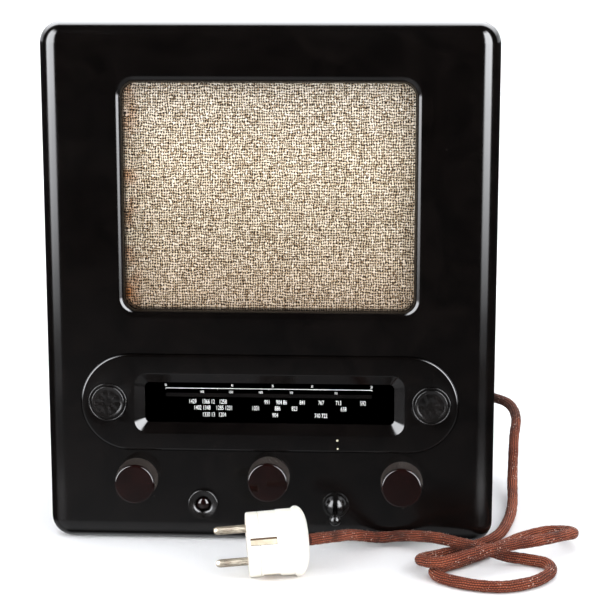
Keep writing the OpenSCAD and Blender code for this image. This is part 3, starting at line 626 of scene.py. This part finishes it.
def make_cabinet(material):
    """The moulded shell: rounded front edge, flared cloth opening, dial pocket and drilled holes."""
    bm = bmesh.new()
    steps = 12
    outer = []
    for k in range(steps + 1):
        a = math.radians(90 * k / steps)
        inset = EDGE_R * (1 - math.sin(a))
        outline = rounded_rect(BODY_W - 2 * inset, BODY_H - 2 * inset, max(EDGE_R - inset, 0.3),
                               cz=BODY_H / 2)
        outer.append((outline, EDGE_R * (1 - math.cos(a))))
    inside = rounded_rect(BODY_W - 2 * WALL, BODY_H - 2 * WALL, 9, cz=BODY_H / 2)
    rim = [rounded_rect(BODY_W - 2 * e, BODY_H - 2 * e, EDGE_R - e, cz=BODY_H / 2) for e in (0, 0.7)]
    outer += [(rim[0], BODY_D - 0.7), (rim[1], BODY_D), (inside, BODY_D), (inside, 5)]
    rings = stack(bm, outer)

    flares = []
    for k in range(9):
        a = math.radians(90 * k / 8)
        grow = FLARE * (1 - math.sin(a))
        flares.append((rounded_rect(OPENING_W + 2 * grow, OPENING_H + 2 * grow, OPENING_R + grow,
                                    cz=OPENING_Z), FLARE * (1 - math.cos(a))))
    draft = rounded_rect(OPENING_W - 0.6, OPENING_H - 0.6, OPENING_R, cz=OPENING_Z)
    opening = stack(bm, flares + [(draft, RIM_D)])
    lip = obround(DIAL_W + 0.8, DIAL_H + 0.8, cz=DIAL_Z)
    edge = obround(DIAL_W + 0.3, DIAL_H + 0.3, cz=DIAL_Z)
    pocket = stack(bm, [(lip, 0), (edge, 0.3), (edge, POCKET_D)])
    fill(bm, pocket[-1])
    drilled = [(4.6, -KNOB_X, KNOB_Z), (4.6, 0, TUNE_Z), (4.6, KNOB_X, KNOB_Z), (6, *TRIMMER),
               (6.5, *TOGGLE)]
    holes = [stack(bm, [(circle(r, cx=x, cz=z), 0), (circle(r, cx=x, cz=z), 5)])
             for r, x, z in drilled]
    fill(bm, rings[0], opening[0], pocket[0], *[hole[0] for hole in holes])
    fill(bm, rings[-1], [bm.verts.new(place(x, 5, z)) for x, z in draft])
    return finish_mesh(bm, "cabinet_moulding", material, "radio", ["cabinet"], 50)


def make_bezel(material):
    """The round-ended dial surround, with its bevelled window and two wells for medallions."""
    bm = bmesh.new()
    edge = 1.5
    outer = [(obround(DIAL_W, DIAL_H, cz=DIAL_Z), POCKET_D)]
    for k in range(7):
        a = math.radians(90 * k / 6)
        inset = edge * (1 - math.cos(a))
        outer.append((obround(DIAL_W - 2 * inset, DIAL_H - 2 * inset, cz=DIAL_Z),
                      edge * (1 - math.sin(a)) - BEZEL_PROUD))
    rings = stack(bm, outer)
    w, h, r = WINDOW
    brow = [(rounded_rect(w + 2 * e, h + 2 * e, r + e, cz=WINDOW_Z), depth - BEZEL_PROUD)
            for e, depth in ((0.4, 0), (0.1, 0.1), (-0.2, 0.3))]
    brow += [(rounded_rect(*SIGHT, cz=WINDOW_Z), depth) for depth in (BEVEL_D, POCKET_D)]
    window = stack(bm, brow)
    wells = []
    for side in (-1, 1):
        rim = [(circle(12.3, cx=side * MEDALLION_X, cz=DIAL_Z), -BEZEL_PROUD),
               (circle(12.0, cx=side * MEDALLION_X, cz=DIAL_Z), -BEZEL_PROUD + 0.3),
               (circle(12.0, cx=side * MEDALLION_X, cz=DIAL_Z), 1.2)]
        well = stack(bm, rim)
        fill(bm, well[-1])
        wells.append(well[0])
    fill(bm, rings[-1], window[0], *wells)
    return finish_mesh(bm, "dial_surround", material, "radio", ["dial_bezel"], 50)


def make_medallion(side, material):
    """A turned button with a plain rosette in its dish."""
    profile = [(0, -1.35), (1.2, -1.5), (1.7, -1.45), (2.2, -1.4), (3.4, -1.62), (5.0, -1.75),
               (6.6, -1.7), (7.6, -1.62), (8.1, -1.75), (8.6, -1.9), (9.5, -2.15), (9.9, -2.05),
               (10.2, -1.4), (10.7, -1.4), (10.95, -2.3), (11.2, -2.5), (11.6, -2.5), (11.85, -2.3),
               (11.9, -1.8), (11.9, 0.8)]

    def petals(index, angle):
        if 4 <= index <= 7:
            strength = (0.5, 1.0, 0.9, 0.3)[index - 4]
            return 0, 0.13 * strength * (1 - 2 * abs(math.sin(4 * angle)))
        return 0, 0

    bm = bmesh.new()
    lathe(bm, profile, facing(side * MEDALLION_X, DIAL_Z), 96, petals)
    name = "left" if side < 0 else "right"
    finish_mesh(bm, f"medallion_{name}_button", material, "radio", [f"medallion_{name}"],
                60)


SLOT_Z = 93.4
SLOT_H = 2.3
SCALE_Z = 97.6
SCALE_LOW = -63.8
SCALE_HIGH = 63.0


def make_glass(material):
    """The black dial plate with the slot that shows the card behind."""
    bm = bmesh.new()
    w, _, h = size_of("dial_glass")
    outline = rounded_rect(w, h, 2.6, cz=WINDOW_Z)
    slot = rounded_rect(SCALE_HIGH - SCALE_LOW, SLOT_H, 0.4, 3, (SCALE_HIGH + SCALE_LOW) / 2, SLOT_Z)
    shell = stack(bm, [(outline, GLASS_D), (outline, 5)])
    gap = stack(bm, [(slot, GLASS_D), (slot, 5)])
    fill(bm, shell[0], gap[0])
    fill(bm, shell[1], gap[1])
    return finish_mesh(bm, "dial_plate", material, "radio", ["dial_glass"])


def make_backing(material):
    """The pale card that is seen through the pointer's slot."""
    bm = bmesh.new()
    bar(bm, place(-70, 9.6, 88), place(70, 10, 100), edge=0.0001)
    finish_mesh(bm, "dial_card", material, "radio")


UPPER_NUMBERS = [(-63.8, "50"), (-22.8, "40"), (2.1, "35"), (26.2, "30"), (62.7, "20")]
LOWER_NUMBERS = [(-41.5, "1400"), (-23.6, "1200"), (-5.3, "1000"), (13.6, "900"), (40.9, "700")]
NUMBER_ROWS = [
    (89.5, [(-47.3, "1429"), (-37.6, "1366 12"), (-28.6, "1258"), (-1.3, "991"), (7.5, "904 86"),
            (20.4, "841"), (31.8, "767"), (42.5, "713"), (57.5, "592")]),
    (85.6, [(-41.5, "1402 1348"), (-27.8, "1285 1231"), (-8.4, "1031"), (5.1, "886"),
            (15.5, "823"), (45.6, "658")]),
    (81.3, [(-37.5, "1330 13"), (-29.1, "1204"), (3.6, "904"), (31.7, "740 722")])]


def make_printing(material):
    """Scale line, ticks and generic numbers, printed a hair's breadth in front of the glass."""
    bm = bmesh.new()
    face = GLASS_D - 0.02

    def stroke(x0, x1, z0, z1):
        corners = [(x0, z0), (x1, z0), (x1, z1), (x0, z1)]
        bm.faces.new([bm.verts.new(place(x, face, z)) for x, z in corners])

    stroke(SCALE_LOW, SCALE_HIGH, SCALE_Z - 0.16, SCALE_Z + 0.16)
    for k in range(33):
        x = SCALE_LOW + (SCALE_HIGH - SCALE_LOW) * k / 32
        drop = 0.8 if k % 8 == 0 else 0.3
        stroke(x - 0.09, x + 0.09, SCALE_Z - drop, SCALE_Z)

    words = [(x, SCALE_Z + 1.2, 1.6, text) for x, text in UPPER_NUMBERS]
    words += [(x, SCALE_Z - 2.9, 1.6, text) for x, text in LOWER_NUMBERS]
    words += [(x, z - 1.5, 2.9, text) for z, row in NUMBER_ROWS for x, text in row]
    for x, z, height, text in words:
        letters = bpy.data.curves.new("numbers", "FONT")
        letters.body = text
        letters.size = height * 1.35
        letters.align_x = "CENTER"
        letters.resolution_u = 3
        holder = bpy.data.objects.new("numbers", letters)
        flat = holder.to_mesh()
        upright = (Matrix.Translation(place(x, face, z)) @ Matrix.Rotation(math.radians(90), 4, "X")
                   @ Matrix.Diagonal((0.62 * MM, MM, MM, 1)))
        flat.transform(upright)
        bm.from_mesh(flat)
        holder.to_mesh_clear()
        bpy.data.objects.remove(holder)
    finish_mesh(bm, "scale_printing", material, "radio")


def make_marks(material):
    """Small pale dabs left on the dial surround."""
    bm = bmesh.new()
    for x, z, r in [(42.0, 66.9, 0.7), (42.2, 61.6, 0.6)]:
        lift = Matrix.Translation((0, 0, -BEZEL_PROUD))
        lathe(bm, [(0, -0.12), (r * 0.6, -0.1), (r, 0.0)], facing(x, z) @ lift, 12)
    finish_mesh(bm, "paint_dabs", material, "radio")


# ---------------------------------------------------------------- cloth

def make_cloth(material):
    """The stretched cloth, with the slight hollows that an old one has between its fixings."""
    bm = bmesh.new()
    low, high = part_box("speaker_cloth")
    columns = 94
    rows = 74
    rng = random.Random(7)
    waves = [(rng.uniform(20, 60), rng.uniform(20, 60), rng.uniform(0, TAU)) for _ in range(6)]
    grid = []
    for j in range(rows + 1):
        line = []
        for i in range(columns + 1):
            x = low[0] + (high[0] - low[0]) * i / columns
            z = low[2] + (high[2] - low[2]) * j / rows
            ripple = sum(math.sin(x * a + z * b + c) for a, b, c in waves) / len(waves)
            line.append(bm.verts.new((x, low[1] + (0.35 + 0.25 * ripple) * MM, z)))
        grid.append(line)
    for j in range(rows):
        for i in range(columns):
            bm.faces.new((grid[j][i], grid[j][i + 1], grid[j + 1][i + 1], grid[j + 1][i]))
    cloth = finish_mesh(bm, "grille_cloth", material, "radio", ["speaker_cloth"])


# ---------------------------------------------------------------- controls

def make_knob(node, body, x, z, material, dusty):
    """A knob with a flat face, a rounded lip and a finely ribbed, dusty side."""
    r = KNOB_R
    out = KNOB_OUT
    profile = [(0, -out), (r - 1.9, -out), (r - 1.5, -out + 0.05), (r - 1.15, -out + 0.2),
               (r - 0.9, -out + 0.5), (r - 0.8, -out + 0.9), (r - 0.78, -out + 1.5),
               (r - 0.5, -out + 1.9), (r - 0.42, -out + 5), (r - 0.15, -4), (r - 0.1, -1.4),
               (r - 0.4, -0.7), (r - 3, -0.4), (0, -0.4)]

    def ribs(index, angle):
        return (-0.32 * (1 - abs(math.sin(45 * angle))) if 7 <= index <= 10 else 0), 0

    bm = bmesh.new()
    lathe(bm, profile, facing(x, z), 540, ribs)
    for face in bm.faces:
        depth = (face.calc_center_median().y - FRONT_Y) / MM
        face.material_index = 1 if -out + 1.7 < depth < -0.8 else 0
    knob = finish_mesh(bm, node + "_moulding", material, body, [node], 50)
    knob.data.materials.append(dusty)


def make_trimmer(black, brown):
    """A dished collar round a small recessed dome."""
    matrix = facing(*TRIMMER)
    bm = bmesh.new()
    dish = [(4.4, 2), (4.4, -0.5), (4.7, -1.2), (5.2, -1.8), (5.7, -2.15), (6.3, -2.45), (8.4, -2.9),
            (8.7, -2.95), (9.0, -2.85), (9.25, -2.55), (9.4, -2.0), (9.4, -0.05), (5.9, -0.05),
            (5.9, 5)]
    lathe(bm, dish, matrix, 96)
    finish_mesh(bm, "trimmer_dish", black, "radio", ["trimmer_collar"], 50)
    bm = bmesh.new()
    dome = [(4 * math.sin(a), -2.4 * math.cos(a)) for a in
            [math.radians(90 * k / 10) for k in range(11)]]
    lathe(bm, dome + [(4, 12), (2, 12), (2, 15.5), (0, 15.5)], matrix, 64)
    finish_mesh(bm, "trimmer_dome", brown, "trimmer", ["trimmer_spindle"], 50)


TOGGLE_SLOT_W = 2.7
LEVER_REST = -140


def make_toggle(material):
    """A domed hub with a narrow slot, and the ball-ended lever that swings in it."""
    x, z = TOGGLE
    bm = bmesh.new()
    dome = [(6.6 * math.sin(a), -1 - 6.6 * math.cos(a))
            for a in [math.radians(84 * k / 14) for k in range(15)]]
    dome += [(6.6, -1.35), (7.4, -1.35), (8.0, -1.2), (8.2, -0.9), (8.2, -0.05), (6.4, -0.05),
             (6.4, 4.8), (0, 4.8)]
    lathe(bm, dome, Matrix.Identity(4), 64)
    hub = finish_mesh(bm, "toggle_dome", material, "radio", ["toggle_hub"], 40)
    bm = bmesh.new()
    bar(bm, (-TOGGLE_SLOT_W / 2, -8, -9), (TOGGLE_SLOT_W / 2, 8, -1.3))
    carve(hub, bm, facing(x, z), 40)

    bm = bmesh.new()
    ball = [(3.6 * math.sin(a), 10.9 - 3.6 * math.cos(a))
            for a in [math.radians(12 * k) for k in range(1, 15)]]
    hinge = Matrix.Translation((0, 0, -1)) @ Matrix.Rotation(math.radians(LEVER_REST), 4, "X")
    lathe(bm, [(0, 2), (1.1, 2), (1.1, 6), (1.5, 7.4)] + ball[2:] + [(0, 14.5)],
          facing(x, z) @ hinge, 48)
    finish_mesh(bm, "toggle_stick", material, "switch_lever", ["toggle_lever"], 50)


# ---------------------------------------------------------------- plug and lead

PLUG_R = 19
PLUG_LEN = 36
FLANGE_S = 28.5
FLANGE_R = 20.6
PLUG_TILT = math.atan2(FLANGE_R - PLUG_R, FLANGE_S - 0.5)
PIN_PITCH = 19
PIN_R = 2.4


def plug_matrix():
    nose = PLUG_R * math.cos(PLUG_TILT) - 0.5 * math.sin(PLUG_TILT)
    return (Matrix.Translation(place(-8.7, -61, nose)) @ Matrix.Rotation(math.radians(8), 4, "Z")
            @ Matrix.Rotation(-PLUG_TILT, 4, "Y") @ Matrix.Rotation(math.radians(90), 4, "Y")
            @ Matrix.Rotation(math.radians(-22), 4, "Z") @ Matrix.Scale(MM, 4))


def make_plug(cream, recess_shade, slot_shadow, metal, strip):
    """The round earthed plug: moulding with carved notches, two pins and two earth strips."""
    matrix = plug_matrix()
    r = PLUG_R
    profile = [(0, 0), (r - 1.6, 0), (r - 0.7, 0.15), (r - 0.2, 0.5), (r, 1.1), (r, 6.8),
               (r - 0.25, 6.95), (r - 0.25, 7.15), (r, 7.3), (r, 17.5), (r + 0.1, 17.7),
               (r + 0.4, 17.8), (r + 0.4, FLANGE_S - 1.7), (r + 0.7, FLANGE_S - 1.4),
               (FLANGE_R - 0.4, FLANGE_S - 0.6), (FLANGE_R, FLANGE_S), (FLANGE_R, FLANGE_S + 1.2)]
    crown = PLUG_LEN - FLANGE_S - 1.2
    for k in range(1, 11):
        a = math.radians(9 * k)
        profile.append((5 + (FLANGE_R - 5) * math.cos(a) ** 0.8,
                        FLANGE_S + 1.2 + crown * math.sin(a) ** 1.1))
    profile += [(4.5, PLUG_LEN), (4.0, PLUG_LEN - 0.4), (3.5, PLUG_LEN - 2), (0, PLUG_LEN - 2)]
    bm = bmesh.new()
    lathe(bm, profile, Matrix.Identity(4), 128)
    body = finish_mesh(bm, "plug_moulding", cream, "radio", ["plug_body"], 50)

    bm = bmesh.new()
    for turn in (0, 180):
        roll = Matrix.Rotation(math.radians(turn), 4, "Z")
        bar(bm, (-2.2, r - 2.4, 1.5), (2.2, r + 3, 17), roll, edge=0.3)
        bar(bm, (r - 1.2, -5, 8.3), (r + 3, 5, 18.8), roll, edge=0.3)
    carve(body, bm, matrix, 35)
    body.visible_glossy = False    # the front is too dull low down to mirror the plug
    # Second material: tan painted shade in the notches and the seam groove.
    body.data.materials.append(recess_shade)
    # Third material: near-black painted shadow in the slot round each earth strip.
    body.data.materials.append(slot_shadow)
    # Notch and groove faces take the painted shade, and the slot faces round each earth strip the
    # painted shadow.
    back_to_lathe = matrix.inverted()
    for face in body.data.polygons:
        spot = back_to_lathe @ face.center
        reach = math.hypot(spot.x, spot.y)
        if (r - 3 < reach < r - 0.3 and 1.4 < spot.z < 18.9) or 6.9 < spot.z < 7.2:
            face.material_index = 2 if abs(spot.x) < 3 and spot.z < 17.2 else 1

    bm = bmesh.new()
    for side in (-1, 1):
        tip = [(0, -19.0), (0.8, -18.95), (1.5, -18.6), (2.0, -17.9), (2.3, -17.0), (PIN_R, -16.2),
               (PIN_R, -0.1), (PIN_R, 0.5), (0, 0.5)]
        lathe(bm, tip, matrix @ Matrix.Translation((side * PIN_PITCH / 2, 0, 0)), 40)
    pins = finish_mesh(bm, "plug_contacts", metal, "radio", ["plug_pins"], 50)

    bm = bmesh.new()
    for turn in (0, 180):
        roll = matrix @ Matrix.Rotation(math.radians(turn), 4, "Z")
        bar(bm, (-1.9, r - 2.4, 1.7), (1.1, r - 1.0, 16.8), roll, edge=0.25)
    clips = finish_mesh(bm, "plug_earth_strips", strip, "radio", ["plug_clips"], 50)
    return [body, pins, clips]


def make_cord(path, frames, material):
    """The braided lead as a tube along its route."""
    run = lengths_along(path)
    sides = 24
    bm = bmesh.new()
    layer = bm.loops.layers.uv.new("along")
    rng = random.Random(3)
    swell = [rng.uniform(-0.20, 0.06) for _ in path]
    rings = []
    for i, (point, _, side, other) in enumerate(frames):
        radius = (CORD_D / 2 + swell[i]) * MM
        rings.append([bm.verts.new(point + radius * (math.cos(TAU * k / sides) * side
                                                     + math.sin(TAU * k / sides) * other))
                      for k in range(sides)])
    for i in range(len(rings) - 1):
        for k in range(sides):
            j = (k + 1) % sides
            face = bm.faces.new((rings[i][k], rings[i][j], rings[i + 1][j], rings[i + 1][k]))
            marks = [(k, run[i]), (k + 1, run[i]), (k + 1, run[i + 1]), (k, run[i + 1])]
            for loop, (around, along) in zip(face.loops, marks):
                loop[layer].uv = (around / sides, along)
    bm.faces.new(rings[0])
    bm.faces.new(rings[-1])
    cord = finish_mesh(bm, "mains_lead", material, "radio", ["mains_cord"], 80)


FIBRES = 4200


def make_fuzz(frames, material):
    """Short loose fibres standing off the braid."""
    rng = random.Random(11)
    bm = bmesh.new()
    for _ in range(FIBRES):
        point, ahead, side, other = frames[rng.randrange(6, len(frames) - 4)]
        angle = rng.uniform(0, TAU)
        out = math.cos(angle) * side + math.sin(angle) * other
        root = point + out * (CORD_D / 2 - 0.15) * MM + ahead * rng.uniform(-1, 1) * MM
        lean = (out + ahead * rng.uniform(-1.6, 1.6) + out.cross(ahead) * rng.uniform(-1.2, 1.2))
        length = rng.uniform(0.4, 1.4) * MM
        tip = root + lean.normalized() * length
        if tip.z < 0.0003 or tip.z > 0.055:
            continue
        wide = lean.cross(out).normalized() * 0.05 * MM
        middle = (root + tip) / 2 + out * 0.12 * MM
        a, b, c, d, e = [bm.verts.new(p) for p in
                         (root - wide, root + wide, middle + wide * 0.8, middle - wide * 0.8, tip)]
        bm.faces.new((a, b, c, d))
        bm.faces.new((d, c, e))
    return finish_mesh(bm, "lead_fibres", material, "radio", sharp=180)


def make_strain_relief(material):
    """A soft tapered sleeve with rings, where the lead leaves the back."""
    low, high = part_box("strain_relief")
    x = (low[0] + high[0]) / 2 / MM
    z = (low[2] + high[2]) / 2 / MM
    profile = [(0, 157), (10.6, 157), (11, 157.4), (11, 159.6), (10.7, 160), (7.9, 160), (7.9, 164)]
    count = 6
    for k in range(count):
        start = 164.4 + 3.1 * k
        r = 7.6 - 0.48 * k
        profile += [(r, start), (r, start + 1.6), (r - 0.25, start + 1.9), (r - 0.9, start + 2.0),
                    (r - 0.9, start + 2.9)]
    profile += [(4.7, 183.4), (4.5, 183.9), (3.6, 184), (3.4, 182), (0, 182)]
    bm = bmesh.new()
    lathe(bm, profile, facing(x, z), 64)
    return finish_mesh(bm, "lead_sleeve", material, "radio", ["strain_relief"], 40)


# ---------------------------------------------------------------- studio

def make_floor():
    """A wide pale table top."""
    look = Look("pale_floor", roughness=0.7)
    look.colour(look.ramp(look.noise(3.0, 3.0), [(0.3, (0.93, 0.93, 0.93)), (0.7, (0.96, 0.96, 0.96))]))
    look.raise_by(look.noise(300.0), 0.01)
    look.set(Specular_IOR_Level=0.2)
    mesh = bpy.data.meshes.new("floor")
    corners = [(-30, -1.3, 0), (30, -1.3, 0), (30, 40, 0), (-30, 40, 0)]
    mesh.from_pydata(corners, [], [(0, 1, 2, 3)])
    mesh.materials.append(look.material)
    floor = bpy.data.objects.new("floor", mesh)
    bpy.context.collection.objects.link(floor)
    floor.visible_glossy = False


AMBIENT = 1.35
PANEL_LEFT = 26.0
PANEL_RIGHT = 32.0


def make_world():
    """White light all round, and a studio of soft panels that only reflections show."""
    world = bpy.data.worlds.new("studio")
    world.use_nodes = True
    bpy.context.scene.world = world
    nodes = world.node_tree.nodes
    links = world.node_tree.links
    background = nodes["Background"]
    background.inputs["Color"].default_value = (0.95, 0.965, 1, 1)
    rays = nodes.new("ShaderNodeLightPath").outputs
    coords = nodes.new("ShaderNodeTexCoord")
    parts = nodes.new("ShaderNodeSeparateXYZ")
    links.new(coords.outputs["Generated"], parts.inputs[0])
    across, back, up = parts.outputs

    def put(socket, value):
        if isinstance(value, float):
            socket.default_value = value
        else:
            links.new(value, socket)

    def span(value, low, high, to_low=0.0, to_high=1.0):
        node = nodes.new("ShaderNodeMapRange")
        for key, entry in zip(("Value", "From Min", "From Max", "To Min", "To Max"),
                              (value, low, high, to_low, to_high)):
            put(node.inputs[key], entry)
        return node.outputs[0]

    def combine(operation, first, *others):
        for other in others:
            node = nodes.new("ShaderNodeMath")
            node.operation = operation
            put(node.inputs[0], first)
            put(node.inputs[1], other)
            first = node.outputs[0]
        return first

    # turn is the compass angle from straight in front, in radians; up is the height of the ray.
    turn = combine("ARCTAN2", across, combine("MULTIPLY", back, -1.0))
    height = combine("MULTIPLY", span(up, -0.195, -0.045), span(up, 0.9, 0.75))
    left = combine("MULTIPLY", span(turn, -1.42, -1.28), span(turn, -0.52, -0.66), height,
                   PANEL_LEFT)
    right = combine("MULTIPLY", span(turn, 0.46, 0.60), span(turn, 1.27, 1.15), height,
                    PANEL_RIGHT)
    wall = combine("MULTIPLY", span(back, 0.27, 0.36), span(up, -0.01, 0.02),
                   span(up, 0.3, 0.8, 1.9, 11.0))
    table = combine("MULTIPLY", span(back, 0.0, -0.2), span(up, -0.16, -0.33),
                    span(across, 0.08, -0.22, 0.15, 0.65))
    near = combine("MULTIPLY", span(up, -0.36, -0.50), span(up, -0.96, -0.90), 0.45)
    studio = combine("ADD", left, right, wall, table, near, 0.02)
    shown = nodes.new("ShaderNodeMix")
    put(shown.inputs["Factor"], rays["Is Glossy Ray"])
    put(shown.inputs["A"], AMBIENT)
    put(shown.inputs["B"], studio)
    links.new(shown.outputs[0], background.inputs["Strength"])


def softbox(name, location, target, width, height, radiance):
    """A rectangular light that shapes the set but is not seen in reflections."""
    data = bpy.data.lights.new(name, "AREA")
    data.shape = "RECTANGLE"
    data.size = width
    data.size_y = height
    data.energy = radiance * width * height * math.pi
    light = bpy.data.objects.new(name, data)
    light.location = location
    aim = Vector(target) - Vector(location)
    light.rotation_euler = aim.to_track_quat("-Z", "Y").to_euler()
    light.visible_camera = False
    light.visible_glossy = False
    bpy.context.collection.objects.link(light)


def make_lights():
    """One softbox on each side, aimed at the foot of the radio."""
    for name, x in (("left_softbox", -1.05), ("right_softbox", 0.9)):
        softbox(name, (x, -0.9, 0.6), (0, 0, 0.1), 0.8, 0.8, 3.0)


# ---------------------------------------------------------------- everything

def dress_cad_nodes():
    """Materials for the CAD pieces that are shown as they are."""
    steel = grained("plated_steel", (0.42, 0.43, 0.44), (0.62, 0.62, 0.62), 260.0, 0.36, 0.01, 1.0,
                    (1, 1, 8))
    brass = grained("turned_brass", (0.50, 0.36, 0.15), (0.72, 0.55, 0.27), 200.0, 0.3, 0.01, 1.0)
    aluminium = grained("aluminium", (0.62, 0.63, 0.65), (0.8, 0.8, 0.81), 240.0, 0.34, 0.01, 1.0)
    card = grained("white_card", (0.70, 0.69, 0.64), (0.86, 0.85, 0.8), 420.0, 0.8, 0.03)
    board = grained("fibreboard", (0.30, 0.21, 0.12), (0.48, 0.36, 0.23), 300.0, 0.8, 0.1)
    enamel = grained("black_enamel", (0.012, 0.012, 0.013), (0.03, 0.03, 0.032), 300.0, 0.35, 0.02)
    pulp = grained("cone_paper", (0.07, 0.055, 0.045), (0.16, 0.13, 0.1), 500.0, 0.85, 0.1)
    iron = grained("iron", (0.07, 0.07, 0.075), (0.16, 0.16, 0.165), 220.0, 0.5, 0.05, 0.6)
    pertinax = grained("pertinax", (0.19, 0.09, 0.035), (0.34, 0.19, 0.08), 150.0, 0.4, 0.02, 0.0,
                       (1, 6, 1))
    red = grained("red_paint", (0.40, 0.05, 0.03), (0.55, 0.09, 0.05), 260.0, 0.4, 0.02)
    string = wound("drive_string", (0.30, 0.25, 0.17), (0.62, 0.55, 0.42), 0.4, "X", roughness=0.8)
    copper = wound("varnished_copper", (0.16, 0.05, 0.02), (0.55, 0.24, 0.1), 0.5, "Z", 0.7)
    sheets = wound("laminations", (0.05, 0.05, 0.05), (0.16, 0.15, 0.15), 0.5, "Y", 0.5)
    black = grained("hard_black", (0.012, 0.011, 0.011), (0.035, 0.032, 0.03), 260.0, 0.5, 0.03)
    back = grained("pressed_back", (0.035, 0.024, 0.017), (0.085, 0.058, 0.040), 420.0, 0.62, 0.12)
    brown = grained("brown_moulding", (0.030, 0.010, 0.007), (0.060, 0.022, 0.016), 180.0, 0.3, 0.02)
    lamp = clear_glass("lamp_glass", (0.9, 0.88, 0.82))
    valve = clear_glass("valve_glass", (0.8, 0.82, 0.84))
    by_slot = {
        "plated_steel": steel, "brass": brass, "aluminium": aluminium, "white_card": card,
        "fibreboard": board, "black_frame": enamel, "cone_paper": pulp, "iron": iron,
        "pertinax": pertinax, "red_pointer": red, "drive_string": string, "coil_copper": copper,
        "lamination": sheets, "black_card": black, "brown_bakelite": brown, "lamp_glass": lamp,
        "valve_glass": valve, "nickel": steel, "black_bakelite": BLACK, "soft_black": black}
    slots = {part["node"]: part["material_slot"] for part in frame["record"]["subparts"]}
    for name, obj in frame["nodes"].items():
        chosen = back if name == "back_panel" else by_slot.get(slots[name])
        if chosen:
            for slot in obj.material_slots:
                slot.material = chosen
    return card


make_camera()
cord_path = smooth_route(ROUTE, 10)
cord_frames = path_frames(cord_path)
fibres = grained("lint", (0.10, 0.035, 0.02), (0.80, 0.70, 0.62), 900.0, 0.9, 0.0)
fuzz = make_fuzz(cord_frames, fibres)
make_strain_relief(
    grained("soft_rubber", (0.012, 0.011, 0.011), (0.03, 0.027, 0.026), 300.0, 0.6, 0.03))
# The plug's second and third materials are painted shade in the notches and seam groove, and painted
# shadow in the earth-strip slots.
plug_pieces = make_plug(
    cream_plastic(), grained("plug_recess_shade", (0.30, 0.20, 0.11), (0.62, 0.50, 0.34), 300.0, 0.6),
    grained("plug_slot_shadow", (0.030, 0.016, 0.008), (0.12, 0.07, 0.035), 300.0, 0.8), nickel(),
    grained("earth_strip", (0.52, 0.44, 0.31), (0.80, 0.73, 0.58), 260.0, 0.35, 0.01, 0.4))
make_cord(cord_path, cord_frames, braid())

BLACK = bakelite("black_bakelite", (0.0016, 0.0012, 0.0011), (0.0034, 0.0025, 0.0022), 0.10, 0.0, 0.09)
AGED = bakelite("aged_bakelite", (0.0024, 0.0020, 0.0018), (0.0050, 0.0040, 0.0036), 0.22)
BROWN = bakelite("brown_bakelite", (0.0045, 0.0011, 0.0009), (0.0085, 0.0022, 0.0018), 0.06)
DUSTY = bakelite("dusty_bakelite", (0.010, 0.006, 0.005), (0.016, 0.011, 0.009), 0.35, 0.75)
white_card = dress_cad_nodes()
make_cabinet(BLACK)
make_bezel(BLACK)
make_medallion(-1, AGED)
make_medallion(1, AGED)
make_glass(dial_black())
make_backing(white_card)
make_printing(grained("white_print", (0.62, 0.63, 0.61), (0.92, 0.93, 0.91), 500.0, 0.6, 0.0))
make_marks(grained("paint_dab", (0.4, 0.38, 0.28), (0.62, 0.58, 0.42), 900.0, 0.6, 0.0))
make_cloth(loudspeaker_cloth())
make_knob("knob_left", "left_knob", -KNOB_X, KNOB_Z, BROWN, DUSTY)
make_knob("knob_centre", "tuning_knob", 0, TUNE_Z, BROWN, DUSTY)
make_knob("knob_right", "right_knob", KNOB_X, KNOB_Z, BROWN, DUSTY)
make_trimmer(AGED, BROWN)
make_toggle(AGED)
make_floor()
make_world()
make_lights()
bpy.context.scene.view_settings.view_transform = "Standard"
